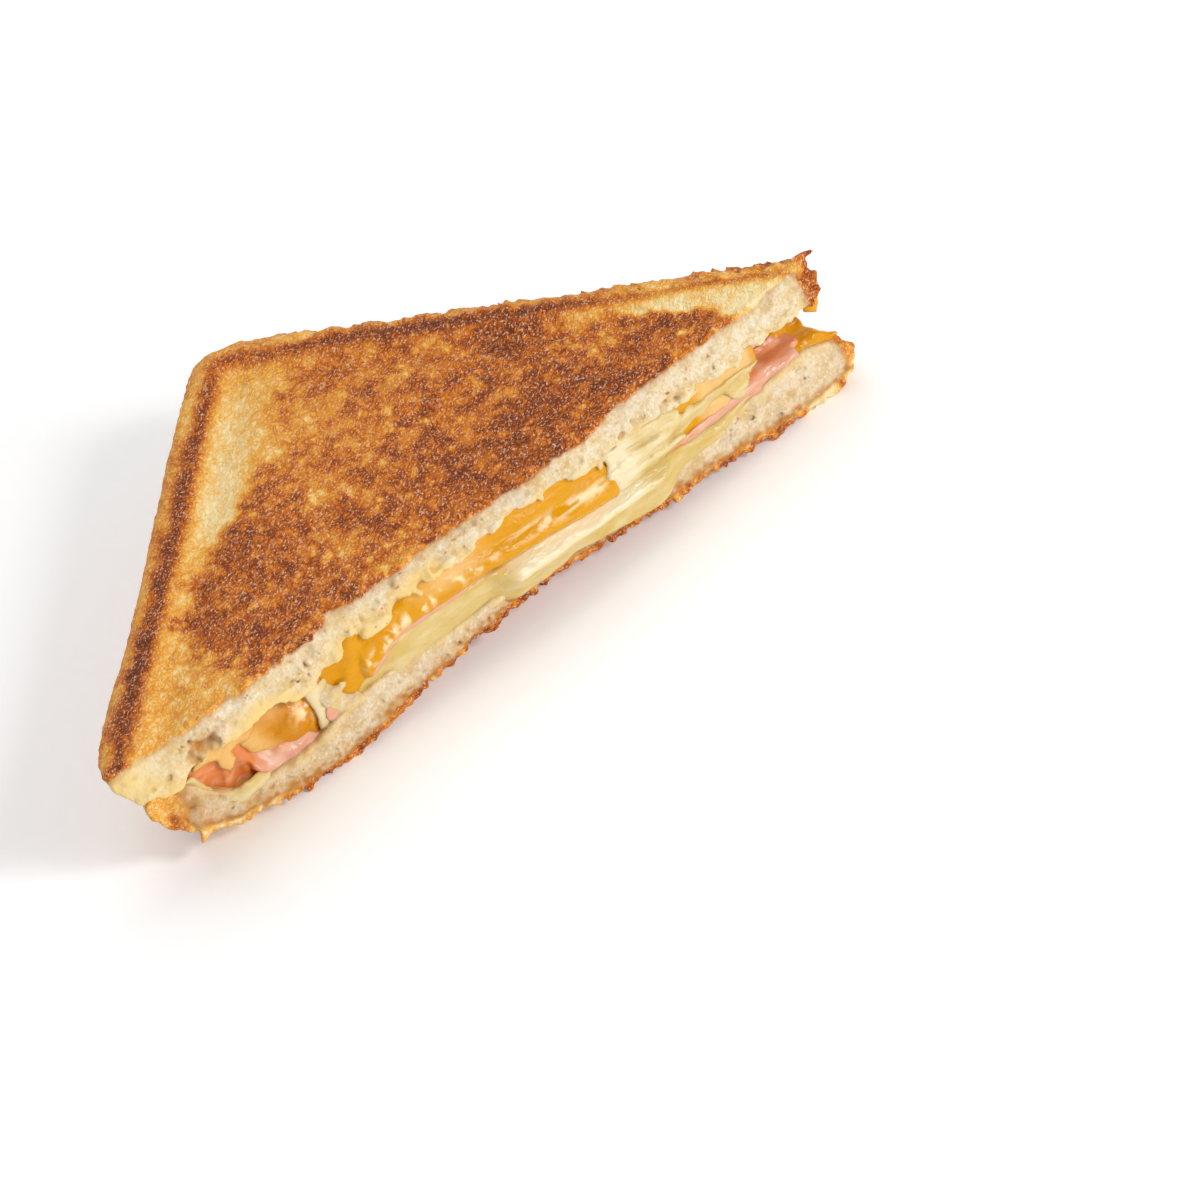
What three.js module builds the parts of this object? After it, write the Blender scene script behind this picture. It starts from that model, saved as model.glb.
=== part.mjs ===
// Half of a ham and cheese toastie: a square sandwich, toasted on both faces and cut once from corner to corner.
// Millimetres, +Z up. X runs along the cut, -Y is the side of the cut face, and +Y points to the bread's own corner.
// From the floor up: bottom slice, pale cheese, ham, a wedge of pale cheese on the right, orange cheese, top slice.
import * as THREE from "three";
import { mergeVertices } from "three/addons/utils/BufferGeometryUtils.js";

// Driving dimensions, in millimetres
const BREAD = 112; // side of the square slice before the cut
const CORNER = 9; // radius of a bread corner, seen from above
const PINCH = 1.2; // how far a crust side curves in at its middle
const CRUST_SWELL = 1.3; // how far a crust side swells out between its upper and lower edge
const HEIGHT = 26.5; // floor to the top slice's crust
const TOP_ENDS = [-75.3, 74.6]; // both ends of the cut in the top slice
const BOTTOM_ENDS = [-70, 76.5]; // and in the bottom slice, which has slipped to the right
const SHOULDER = 3.4; // width of the rounded edge between a toasted face and its crust side
const SHOULDER_DROP = 2;
const RIDGE = 0.5; // height of the low ridge inside the shoulder
const GROOVE = 0.9; // depth of the groove inside the ridge
const SAG = 1.3; // how far the top slice sinks in the middle of the cut
const ARCH = 3.3; // how far the bottom slice lifts off the floor at the middle of the cut
const CURL = 3.6; // how far its left end curls up
const HAM = 1.7; // thickness of the ham
const THINNEST = 1; // least thickness of a melted layer
const GAP = 0.3; // gap between neighbouring layers at the cut
const INNER_GAP = 0.9; // and inside, where the layers don't show

// How finely a layer is divided: columns along the cut, rows from the cut back to the crust side
const COLUMNS = 40;
const ROWS = 10;
const RIM_ROWS = 6;
const RIM_ZONE = 15; // width of the zone inside the crust that has rows of its own
const SHARED = 60; // columns nearer to the middle than this stand at the same places in every layer
const FILLED_ENDS = [-66, 73]; // ends of the outline in which the fillings lie
const FIRST_FILLED = 5; // and the columns between which they lie
const LAST_FILLED = 36;
const LAST_FILLED_ROW = 8;
const WEDGE_COLUMNS = [26, 35];
const WEDGE_LAST_ROW = 4;

// A smooth hill of height 1 round a place, a smooth step from 0 to 1, and a blend
const hill = (value, place, width) => Math.exp(-(((value - place) / width) ** 2));
const step = THREE.MathUtils.smoothstep;
const mix = THREE.MathUtils.lerp;

// The cut runs through two rounded bread corners, so it is shorter than the full diagonal
const HALF_CUT = BREAD / Math.SQRT2 - CORNER * (Math.SQRT2 - 1);

// How far a point of the plan lies inside the crust of a slice with the given ends of its cut
function crustDepth(x, y, [left, right]) {
  const half = BREAD / 2;
  const along = ((x - (left + right) / 2) * 2 * HALF_CUT) / (right - left);
  const u = Math.abs(y + along) / Math.SQRT2;
  const v = Math.abs(y - along) / Math.SQRT2;
  const overU = u - half + PINCH * (1 - (v / half) ** 2) + CORNER;
  const overV = v - half + PINCH * (1 - (u / half) ** 2) + CORNER;
  return CORNER - Math.hypot(Math.max(overU, 0), Math.max(overV, 0)) - Math.min(Math.max(overU, overV), 0);
}

// How far back from the cut the crust side's edge stands, found by halving
function sideAt(x, ends) {
  let near = 0;
  let far = BREAD;
  for (let halving = 0; halving < 40; halving++) {
    const middle = (near + far) / 2;
    if (crustDepth(x, middle, ends) > CRUST_SWELL) near = middle;
    else far = middle;
  }
  return near;
}

// The direction straight out of the crust side at a point of the plan
function outwardAt(x, y, ends) {
  const small = 0.01;
  return new THREE.Vector2(
    crustDepth(x - small, y, ends) - crustDepth(x + small, y, ends),
    crustDepth(x, y - small, ends) - crustDepth(x, y + small, ends),
  ).normalize();
}

// The toasted upper face: rounded at the crust, a low ridge inside it, a groove, then a flat middle that sags
function topFace(x, y) {
  const depth = crustDepth(x, y, TOP_ENDS);
  const shoulder = SHOULDER_DROP * Math.max(0, 1 - depth / SHOULDER) ** 2;
  const ridge = RIDGE * hill(depth, 5, 2.2);
  const groove = GROOVE * hill(depth, 10.5, 4);
  const sag = SAG * hill(x, 5, 42) * hill(y, 0, 45);
  return HEIGHT - shoulder + ridge - groove - sag;
}

// The top slice's soft lower face: low at the crust, pushed up by the fillings in the middle
function topCrumb(x, y) {
  const edge = 15.2 + 2.6 * step(-x, 50, 70) + 3.8 * step(x, 15, 68);
  const waves = 1.2 * hill(x, -9, 9) - 1.3 * hill(x, -38, 6) - 1.8 * hill(x, 50, 15);
  return mix(20.6 + waves * hill(y, 0, 20), edge, hill(crustDepth(x, y, TOP_ENDS), 0, 11));
}

// The bottom slice's soft upper face: high at the crust, pressed down in the middle
function bottomCrumb(x, y) {
  const edge = 14.4 + 2.6 * step(-x, 50, 66) - 2.8 * step(x, 15, 70);
  const waves = 2.8 * hill(x, -25, 9) - 1.6 * hill(x, 25, 13) + 3.3 * hill(x, 60, 14);
  return mix(7.2 + waves * hill(y, 0, 18), edge, hill(crustDepth(x, y, BOTTOM_ENDS), 0, 9));
}

// The toasted lower face: flat on the floor, arched up along the cut and curled up at the left end
function bottomFace(x, y) {
  const depth = crustDepth(x, y, BOTTOM_ENDS);
  const shoulder = SHOULDER_DROP * Math.max(0, 1 - depth / SHOULDER) ** 2;
  const arch = ARCH * hill(x, 8, 24) * hill(y, 0, 20);
  const curl = CURL * step(-x, 50, 68) * hill(y, 0, 14);
  const flatBelow = 0.2;
  return Math.max(0, shoulder + arch + curl - flatBelow);
}

// The ham lies on the lower pale cheese. It dips on the left, where its end turns up, and rises beside the middle.
function hamBed(x, y) {
  const dip = -4.2 * hill(x, -46, 7) + 2.4 * hill(x, -61, 6);
  const rise = 2.1 * hill(x, -18, 9) - 0.9 * hill(x, 25, 10) - 0.8 * hill(x, 52, 12);
  return Math.max(bottomCrumb(x, y) + THINNEST, 11.9 + (dip + rise) * hill(y, 0, 18));
}

function hamTop(x, y) {
  const fold = 0.9 * hill(x, 58, 8) * hill(y, 0, 14);
  return Math.min(hamBed(x, y) + HAM + fold, topCrumb(x, y) - THINNEST);
}

// The wedge of pale cheese swells up beside the orange cheese and thins out to the right and to the back
function wedgeTop(x, y) {
  const swell = (3.2 + 2.7 * hill(x, 33, 9)) * step(x, 20, 28) * hill(y, 0, 26);
  return Math.min(hamTop(x, y) + Math.max(swell, THINNEST), topCrumb(x, y) - THINNEST);
}

const besideWedge = (column, row) =>
  column < WEDGE_COLUMNS[0] || column > WEDGE_COLUMNS[1] || row > WEDGE_LAST_ROW;

// The top of whatever lies under the orange cheese
const underOrange = (x, y, column, row) => (besideWedge(column, row) ? hamTop(x, y) : wedgeTop(x, y));

// Half of the gap between two layers, which is wider where it doesn't show
const halfGap = (y) => mix(GAP, INNER_GAP, step(y, 2, 9)) / 2;
const lifted = (face) => (x, y, column, row) => face(x, y, column, row) + halfGap(y);
const lowered = (face) => (x, y, column, row) => face(x, y, column, row) - halfGap(y);

// Where a column stands along the cut: closer together at the ends, which lie at the layer's own places
function columnPlace(column, [left, right]) {
  const across = (2 * column) / COLUMNS - 1;
  const end = HALF_CUT - 1;
  const place = end * mix(across, Math.sin((Math.PI / 2) * across), 0.35);
  const inset = CRUST_SWELL + 0.3;
  const ownEnd = place < 0 ? left + inset : right - inset;
  return place + (ownEnd - Math.sign(place) * end) * step(Math.abs(place), SHARED, end);
}

// Where a row stands behind the cut, when the crust side is reach away: even in the rim zone, closer at the cut
function rowPlace(row, reach) {
  const rim = Math.SQRT2 * RIM_ZONE * Math.min(1, reach / 42);
  const inner = ROWS - RIM_ROWS;
  if (row < inner) return (reach - rim) * (row / inner) ** 1.4;
  return reach - (rim * (ROWS - row)) / RIM_ROWS;
}

// A closed layer of the toastie: a box of columns, rows and courses, each point of which is moved to its place.
// Its sides swell out between the faces, and swollen cheese also hangs down a little.
function layer({ ends, from = 0, to = COLUMNS, back = ROWS, courses, upper, lower, swell, cutSwell, recess }) {
  const box = new THREE.BoxGeometry(to - from, back, 1, to - from, back, courses);
  box.translate((from + to) / 2, back / 2, 0.5);
  box.deleteAttribute("normal");
  box.deleteAttribute("uv");
  const points = box.attributes.position;
  for (let i = 0; i < points.count; i++) {
    const column = Math.round(points.getX(i));
    const row = Math.round(points.getY(i));
    const share = points.getZ(i);
    const x = columnPlace(column, ends);
    const y = rowPlace(row, sideAt(x, ends)) + recess(x) * (1 - row / ROWS) ** 3;
    const z = mix(lower(x, y, column, row), upper(x, y, column, row), share);
    const bulge = Math.sin(Math.PI * share);
    const atCut = row === 0 ? cutSwell(x) * bulge : 0;
    const atSide = row === back || column === from || column === to ? swell * bulge : 0;
    const outward = outwardAt(x, y, ends).multiplyScalar(atSide);
    points.setXYZ(i, x + outward.x, y + outward.y - atCut, z - 0.35 * Math.max(atCut, 0));
  }
  return mergeVertices(box, 1e-4);
}

const straight = () => 0;
const FILLING = { ends: FILLED_ENDS, from: FIRST_FILLED, to: LAST_FILLED, back: LAST_FILLED_ROW };

const topSlice = () =>
  layer({
    ends: TOP_ENDS,
    courses: 4,
    upper: topFace,
    lower: lifted(topCrumb),
    swell: CRUST_SWELL,
    cutSwell: straight,
    recess: straight,
  });

const bottomSlice = () =>
  layer({
    ends: BOTTOM_ENDS,
    courses: 4,
    upper: lowered(bottomCrumb),
    lower: bottomFace,
    swell: CRUST_SWELL,
    cutSwell: straight,
    recess: straight,
  });

// The lower pale cheese hangs out over the bottom slice in the middle of the cut
const paleCheese = () =>
  layer({
    ...FILLING,
    courses: 3,
    upper: lowered(hamBed),
    lower: lifted(bottomCrumb),
    swell: 0.4,
    cutSwell: (x) => 2.6 * hill(x, 16, 18) + 0.9 * hill(x, -16, 9),
    recess: (x) => 1.2 * step(-x, 26, 34) + 0.8 * step(x, 44, 52),
  });

const hamSlice = () =>
  layer({
    ...FILLING,
    courses: 2,
    upper: lowered(hamTop),
    lower: lifted(hamBed),
    swell: 0.3,
    cutSwell: () => 0.3,
    recess: (x) => 0.4 + 1.6 * hill(x, 12, 20) + 1.2 * hill(x, -31, 5),
  });

const paleWedge = () =>
  layer({
    ...FILLING,
    from: WEDGE_COLUMNS[0],
    to: WEDGE_COLUMNS[1],
    back: WEDGE_LAST_ROW,
    courses: 3,
    upper: lowered(wedgeTop),
    lower: lifted(hamTop),
    swell: 0,
    cutSwell: (x) => 1.2 * hill(x, 36, 12),
    recess: () => 0.2,
  });

// The orange cheese swells out in the middle, drips at the left of it, and is drawn back at both ends
const orangeCheese = () =>
  layer({
    ...FILLING,
    courses: 3,
    upper: lowered(topCrumb),
    lower: lifted(underOrange),
    swell: 0.4,
    cutSwell: (x) => 2 * hill(x, 3, 24) * step(x, -36, -30),
    recess: (x) => 5.5 * step(-x, 36, 41) + 1.5 * step(x, 27, 30) + 3.5 * step(x, 56, 62),
  });

const finish = (color, roughness) => new THREE.MeshStandardMaterial({ color, roughness, metalness: 0 });
const TOASTED = finish(0xb5672a, 0.75);
const PALE = finish(0xf0dc9a, 0.35);
const ORANGE = finish(0xeba62a, 0.3);
const PINK = finish(0xe6a08f, 0.4);

const pieces = {
  bottom_slice: [bottomSlice, TOASTED],
  pale_cheese: [paleCheese, PALE],
  ham_slice: [hamSlice, PINK],
  pale_cheese_wedge: [paleWedge, PALE],
  orange_cheese: [orangeCheese, ORANGE],
  top_slice: [topSlice, TOASTED],
};

// The origin is on the floor, under the middle of the whole half
const toastie = new THREE.Group();
for (const [name, [make, surface]] of Object.entries(pieces)) {
  const mesh = new THREE.Mesh(make(), surface);
  mesh.name = name;
  toastie.add(mesh);
}
const middle = new THREE.Box3().setFromObject(toastie).getCenter(new THREE.Vector3());
toastie.position.set(-middle.x, -middle.y, 0);
export default toastie;
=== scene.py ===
"""Half of a ham and cheese toastie: toasted bread, melted cheeses and ham, built as fields and meshed."""

import itertools
import math

import bpy
import numpy as np
from mathutils import Matrix, Vector


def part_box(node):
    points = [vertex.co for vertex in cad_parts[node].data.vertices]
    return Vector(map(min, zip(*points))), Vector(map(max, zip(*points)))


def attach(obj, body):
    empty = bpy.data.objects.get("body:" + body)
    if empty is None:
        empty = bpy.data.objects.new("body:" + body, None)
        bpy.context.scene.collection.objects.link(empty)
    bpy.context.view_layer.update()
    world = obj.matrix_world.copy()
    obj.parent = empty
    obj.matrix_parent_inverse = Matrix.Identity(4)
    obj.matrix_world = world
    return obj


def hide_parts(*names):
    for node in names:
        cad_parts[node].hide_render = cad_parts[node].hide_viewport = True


bl_info = {
    "name": "Ham and Cheese Toastie",
    "version": (1, 0, 0),
    "blender": (4, 5, 0),
    "location": "3D View > Sidebar > Toastie",
    "description": "Builds half of a toasted ham and cheese sandwich with crust, crumb and melted fillings",
    "category": "Add Mesh",
}

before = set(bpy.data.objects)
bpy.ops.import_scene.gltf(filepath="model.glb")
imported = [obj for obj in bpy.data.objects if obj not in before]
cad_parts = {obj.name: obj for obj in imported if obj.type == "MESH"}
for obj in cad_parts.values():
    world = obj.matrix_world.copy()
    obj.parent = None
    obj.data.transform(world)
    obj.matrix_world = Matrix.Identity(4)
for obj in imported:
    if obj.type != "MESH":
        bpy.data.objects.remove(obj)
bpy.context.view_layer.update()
MM = 0.001

# The plan: millimetres, x along the cut, y back from the cut plane, z up from the floor
BOTTOM_RIGHT_END = 76.2
SHIFT_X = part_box("bottom_slice")[1].x / MM - BOTTOM_RIGHT_END
SHIFT_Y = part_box("top_slice")[0].y / MM

# The bread, in millimetres
BREAD = 112.6
CORNER = 7.8
PINCH = 0.2
CRUST_OUT = 0.3
CRUST_SWELL = 1.0
HEIGHT = 26.5
TOP_ENDS = (-74.6, 73.4)
BOTTOM_ENDS = (-70.0, 76.5)
FILLED_ENDS = (-69.0, 76.0)
HALF_CUT = BREAD / math.sqrt(2) - CORNER * (math.sqrt(2) - 1)
SHOULDER = 2.0
SHOULDER_DROP = 0.3
FLOOR_CLEARANCE = 0.02

# How many crumbs are stuck on along the edges, and how many small pores the knife has opened
RIGHT_LEG_CRUMBS = 200
LEFT_LEG_CRUMBS = 16
LOWER_EDGE_CRUMBS = 900
TOP_PORES = 460
BOTTOM_PORES = 380

# How many cells apart the rows of grid points lie far behind the cut, and from which depth on
BREAD_ROWS = (4.2, 22)
FILLING_ROWS = (4.5, 20)

# Loose parts of a mesh with fewer points than this are left out
LEAST_PART = 400

# The turn of the toasted grains on the plan in degrees, and how strongly moist food bends light
TOAST_TURN = 38
FOOD_IOR = 1.45

# The stage camera's view: how far to the left, and how far higher, a point of the cut shows for each
# millimetre that it is set back behind the cut plane
VIEW_AZIMUTH = math.radians(25.963)
VIEW_ELEVATION = math.radians(38.58)
SEEN_LEFT = math.tan(VIEW_AZIMUTH)
SEEN_HIGHER = math.tan(VIEW_ELEVATION) / math.cos(VIEW_AZIMUTH)

# How far back the top slice's toasted edge lies along the cut, as (x, y)
TOP_EDGE = (
    (-76, 1.4), (-62, 1.2), (-50, 0.2), (-37, 0.5), (-31, 1.4), (-28, 3.8), (-25, 2.2), (-19, 2.3),
    (-7, 2.8), (3, 1.9), (10, 1.7), (14, 1.2), (20, 0.3), (25, -0.4), (28, 0.6), (31, 2.2), (42, 1.6),
    (54, 1.2), (60, 2), (68, 1.6),
)

# The same line for the bottom slice, whose edge isn't set back
STRAIGHT_EDGE = ((-80, 0), (80, 0))

# Heights of the layers' edges along the cut, as (x, z)
TOP_LOW = (
    (-78, 18.3), (-70, 17.6), (-66, 17.4), (-62, 17.8), (-57, 18.4), (-52, 19.2), (-47, 19.6), (-42, 18.6),
    (-38, 16.6), (-35, 17.3), (-32, 18.5), (-28, 20.6), (-24, 19.6), (-21, 19.3), (-17, 19.8), (-10, 20.8),
    (-5, 20.4), (3, 21.1), (11, 21.4), (18, 20.4), (22, 19.3), (26, 18.4), (28, 20.4), (33, 19.8), (38, 18.6),
    (47, 18.6), (55, 18.4), (64, 19), (71, 19.4), (78, 19.4),
)
BOTTOM_HIGH = (
    (-72, 19), (-67, 18.6), (-64, 17.6), (-62, 15.4), (-60, 12.8), (-58, 10.8), (-55, 9), (-50, 7.6),
    (-44, 7), (-38, 7.6), (-33, 9.4), (-28, 10.2), (-20, 10), (-12, 9.4), (0, 9.2), (15, 8.8), (28, 7.8),
    (36, 8.2), (42, 9), (50, 10), (58, 10.8), (66, 12), (70, 11.4), (73, 10), (76, 8),
)
BOTTOM_UNDER = (
    (-72, 14.5), (-69, 11.6), (-66, 8.2), (-64, 6), (-61, 4.9), (-57, 3.8), (-52, 3), (-48, 1.7), (-42, 0.8),
    (-36, 0.5), (-30, 1.5), (-23, 2.6), (-14, 3.6), (-5, 4.6), (3, 5.5), (12, 5.4), (20, 4.7), (30, 3.8),
    (40, 3), (50, 2.3), (60, 1.4), (68, 0.6), (73, 1), (77, 3),
)
ORANGE_LOW = (
    (-38, 18), (-35, 15.5), (-32, 12.4), (-29, 11.4), (-26, 12), (-23, 13.8), (-20, 15.4), (-16, 15.4),
    (-11, 14.9), (-4, 14.6), (1, 13.7), (6, 12.9), (11, 12.6), (16, 11.8), (21, 10.8), (26, 10),
)
ORANGE_RIDGE = (
    (-38, 16), (-30, 13.6), (-26, 13.4), (-22, 15.6), (-17, 17.2), (-11, 17.4), (-4, 16.8), (4, 16),
    (12, 15.3), (20, 14.1), (27, 13),
)
# The line along the orange band where highlights are painted, as (x, z)
ORANGE_SHEEN = (
    (-28, 13.6), (-22, 15.8), (-18, 17), (-12, 17.3), (-4, 17), (4, 16.6), (12, 16.1), (18, 15.5),
    (26, 15),
)
PALE_LOW = (
    (-26, 9.2), (-20, 8.8), (-14, 8.8), (-8, 8.6), (-3, 8.3), (2, 7.3), (9, 7.1), (15, 7.8), (20, 7.1),
    (25, 6), (31, 5.1), (35, 5.8), (39, 7.6), (43, 7.8), (47, 7.8), (51, 9.6), (56, 11), (60, 11.5),
)
PALE_HIGH = (
    (-27, 11.5), (-24, 13), (-19, 15), (-12, 14.8), (-4, 14.4), (1, 13.8), (5, 13.9), (10, 13.6), (16, 13),
    (21, 12.3), (26, 11.8), (30, 12), (36, 12), (42, 11.4), (47, 10.8), (52, 11.2), (60, 11.8),
)
HAM_LOW = (
    (-28, 10.4), (-25, 11.6), (-22, 13.3), (-18, 14.5), (-12, 14.1), (-5, 13.8), (2, 12.9), (12, 12),
    (24, 10.8), (34, 11), (40, 11.4), (46, 10.6), (52, 10.8), (60, 11), (67, 12),
)
WEDGE_LOW = ((24, 11), (28, 10.8), (34, 11.6), (40, 12.8), (46, 12.6), (52, 13.6), (58, 15.5), (62, 17.5))

# Places and radii on the plan of the darkest and the lightest parts of the browned middle
DARK_SPOTS = (
    ((-38, 15), (11, 9)), ((22, 12), (28, 8)), ((28, 32), (8, 5)), ((10, 50), (7, 4)), ((-25, 30), (6, 4)),
)
LIGHT_SPOTS = (
    ((-15, 27), (8, 5)), ((-17, 5), (6, 3)), ((-4, 45), (8, 5)), ((2, 32), (6, 4)), ((-55, 12), (5, 8)),
)

# A small pit in the toasted face near its corner
PIT = (-3, 65)

# Large torn pores of the top slice's cut: centre, radii, turn
TOP_HOLLOWS = (
    ((-59.4, 0, 21.8), (2.2, 1.1, 1.9), 20),
    ((-57, 0, 20.9), (2.1, 1.3, 1.8), -15),
    ((-59.2, 0, 19.6), (1.9, 1.4, 1.1), 10),
    ((-47.4, 0, 23.6), (0.7, 0.7, 0.6), 0),
    ((-36.4, 0, 21.2), (0.8, 1, 1.9), 10),
    ((-39.2, 0, 20.1), (1.6, 1.2, 0.6), 8),
    ((-28.2, -0.2, 24.4), (1.8, 0.9, 1.3), 0),
    ((-25.2, 0, 22.6), (1.3, 0.8, 2), 30),
    ((-21.6, 0, 23.8), (2.4, 0.8, 1), -25),
    ((-18.6, 0, 21.2), (1.5, 0.8, 1.2), 0),
    ((-12.4, 0, 24), (3, 0.8, 0.8), -28),
    ((-6.8, 0, 23.2), (3.4, 0.8, 0.8), -22),
    ((2.5, 0, 23.2), (1.4, 0.9, 0.5), 0),
    ((33.5, 0, 21.5), (2.2, 0.8, 0.6), -12),
    ((40.5, 0, 20.6), (2.4, 0.7, 0.6), 6),
    ((44.5, 0, 22.4), (1.7, 0.7, 0.5), 0),
    ((64.5, 0.8, 25.8), (0.9, 1.1, 0.7), 0),
)

# Flakes of crust: the spike at the right tip, its shoulder, and small ones along the left end's crust
TOP_FLAKES = (
    ((74.9, 3, 26.5), (2.4, 0.7, 0.4), 12, 0),
    ((72.8, 2.6, 25.6), (2.2, 1.8, 1.1), 0, 0),
    ((72.6, 1.4, 20.3), (1.2, 1.2, 1.3), 0, 0),
    ((-68.6, 8.2, 24.9), (1.2, 0.4, 0.6), 50, 20),
    ((-63.5, 14, 25), (1.4, 0.4, 0.5), 60, 0),
)

# The strand of crumb that hangs from the top slice across the fillings, drawn as the stage camera sees it
TORN_STRAND = (
    (-40, 19.6), (-35, 20), (-34.8, 17), (-32.6, 14), (-29.4, 11.8), (-29.6, 8), (-34.4, 8), (-35.8, 11.6),
    (-37.6, 15.4),
)

# Flakes and curls of the bottom slice's ends
BOTTOM_LEAF = (
    (-66, 13.4), (-63, 12.4), (-61.6, 10), (-61.2, 7.4), (-62.4, 5.8), (-65, 5), (-64.2, 7), (-65, 9.6),
)
BOTTOM_FLAKES = (
    ((-66.2, 0.4, 13.6), (1.1, 0.7, 2.4), 12, 0),
    ((75.2, 0.8, 2.4), (1.3, 1, 0.9), 0, 0),
    ((72.6, 0.6, 0.9), (1.5, 0.9, 0.6), 10, 0),
)

# Parts of the fillings, drawn as the stage camera sees them on the cut plane, as (x, z) corners
ORANGE_DOME = (
    (-52.8, 18), (-49, 20.4), (-44, 20.6), (-39, 18), (-36.6, 14.8), (-37, 12.4), (-38.2, 10), (-39.2, 8.8),
    (-40.8, 9.4), (-44, 10.6), (-48, 12), (-51.4, 14.2),
)
ORANGE_ROOF = (
    (-61.4, 18.6), (-58, 21), (-50, 21.8), (-46.6, 20.6), (-50.6, 17.4), (-54, 16.9), (-57.8, 17.6),
)
ORANGE_TEAR = ((-57.6, 18.4), (-54.2, 18.2), (-54.2, 15.6), (-55.6, 13.8), (-57, 15.4))
ORANGE_DRIP = (
    (-36.6, 17.8), (-34, 20), (-31, 22), (-25.4, 22), (-25, 14), (-26.4, 11.9), (-28, 10.6), (-31, 11.2),
    (-34, 14),
)
ORANGE_END = (
    (60, 20.4), (69, 20.4), (69.6, 16.6), (71.8, 13.8), (75.2, 11), (72.8, 10.6), (70, 11.6), (66, 10.6),
    (64.4, 14),
)
ORANGE_SMEAR = ((70, 19.6), (73.6, 20.2), (73.8, 18.7), (72.6, 17), (71.7, 17.8))
ORANGE_THREADS = (
    ((40.4, 18.8), (42, 20.4), (50, 20.4), (50, 17.6), (46, 17.2), (42, 17.6)),
    ((46.4, 17), (48, 20), (58.8, 20), (58.8, 16.2), (52, 16.4)),
    ((40.6, 12.2), (50, 12.6), (56.6, 14.4), (57, 16.2), (50, 16), (42, 15.2)),
)
HAM_RED = (
    (-63.8, 17.4), (-63, 20), (-56, 20.4), (-52.6, 16.4), (-51.2, 12.8), (-50.6, 10.6), (-54.8, 9.4),
    (-57.8, 11.2), (-60.8, 14),
)
HAM_SHEET = (
    (-54, 17.8), (-50.4, 18.4), (-46, 14.8), (-42, 11.9), (-38.2, 8.8), (-40.4, 6.2), (-46, 6.7),
    (-49.8, 7), (-51, 8.6), (-52.2, 12),
)
HAM_BIT = ((-36, 13.6), (-35, 10.6), (-31.2, 9.4), (-33.2, 7.7), (-35.8, 7.9), (-36.4, 10.4))
HAM_END = (
    (37, 12.2), (45, 13.2), (50, 13.6), (54, 15.2), (57.4, 19.4), (63, 19.6), (66.4, 14), (67.4, 11.2),
    (58, 10.4), (50, 10.6), (44, 10.6),
)
PALE_LEFT = (
    (-65, 18), (-62.2, 18), (-60.4, 14.2), (-57.8, 11), (-55.2, 9.8), (-51.4, 10.4), (-49.2, 8.8),
    (-50.4, 6.8), (-55, 6.9), (-59.4, 9.2), (-62.8, 12),
)
PALE_STRIP = ((-38.8, 17.4), (-34.6, 17.8), (-33.4, 13), (-33.6, 9), (-36.4, 7.2), (-38.8, 9.2), (-38, 12.5))
FOLD_TOP = (
    (25.6, 20), (33, 21), (38, 20), (41.8, 19), (42, 15.6), (37.4, 13.4), (31, 12.8), (24.6, 12.2),
    (25.6, 14), (24.6, 16), (26, 18),
)
FOLD_STREAK = (
    (37, 17), (44, 17.7), (50, 17.4), (56, 17.2), (59, 16.6), (57, 15.5), (50, 15), (44, 14), (37.4, 13.4),
)
FOLD_LOW = ((26.2, 14), (33, 14), (40, 13.8), (43.4, 12.5), (37, 11.7), (31, 11), (26.4, 10.8))
FOLD_DROP = ((51.2, 15.2), (55.8, 15.4), (56.3, 14), (54.5, 12.1), (52.6, 12.8))

# The stage: the point that the camera looks at, in plan millimetres, then in metres half a side of the floor,
# and each soft light's name, place, aim and size
TARGET = Vector((6.724, -19.966, 13))
FLOOR_HALF = 4.0
SOFTBOXES = (
    ("overhead_softbox", (0.08, 0.5, 0.95), (0, 0, 0), 1.1),
    ("front_softbox", (0.3, -0.8, 0.62), (0, 0, 0.01), 0.22),
    ("low_softbox", (0.42, -0.92, 0.3), (0, 0, 0.01), 0.32),
)

# Values of the bread that follow from masks and noises: the source, its range, and the value's range
BREAD_RANGES = {
    "grain": ("off_middle", 0.15, 0.0, 0.0, 1.0),
    "uneven": ("mottle", 0.3, 0.7, -0.1, 0.1),
    # Where painted glints, small painted highlights, are laid on the toast
    "painted_glint_share": ("glints", 0.58, 0.68, 0.0, 0.6),
    "cloudy": ("clouds", 0.42, 0.64, 0.0, 1.0),
    # Painted shade in the crumb's pores, where the bump's height is low
    "pore_shade": ("pores", 0.5, 0.33, 0.0, 0.5),
    # Whiter raised bits of the crumb: partly whitish torn crumb, partly a painted highlight where the bump is
    # high
    "torn": ("pores", 0.56, 0.7, 0.0, 0.7),
    "roughness": ("crumb", 0.0, 1.0, 0.48, 0.85),
    "softness": ("crumb", 0.0, 1.0, 0.0, 0.35),
    "relief": ("crumb", 0.0, 1.0, 0.45, 0.6),
}


def linear(code):
    """The linear colour of an sRGB hex code."""
    values = [int(code[place:place + 2], 16) / 255 for place in (1, 3, 5)]
    return [v / 12.92 if v <= 0.04045 else ((v + 0.055) / 1.055) ** 2.4 for v in values] + [1.0]


def hill(value, place, width):
    """A smooth hill of height 1 round a place."""
    return np.exp(-(((value - place) / width) ** 2))


def step(value, start, end):
    """A smooth step from 0 at start to 1 at end."""
    share = np.clip((value - start) / (end - start), 0, 1)
    return share * share * (3 - 2 * share)


def mix(first, second, share):
    """A share of the way from the first value to the second."""
    return first + (second - first) * share


def smooth_max(first, second, radius):
    """The larger of two fields, rounded where they meet."""
    overlap = np.maximum(radius - np.abs(first - second), 0)
    return np.maximum(first, second) + overlap * overlap / (4 * radius)


def smooth_min(first, second, radius):
    """The smaller of two fields, rounded where they meet."""
    return -smooth_max(-first, -second, radius)


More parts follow.
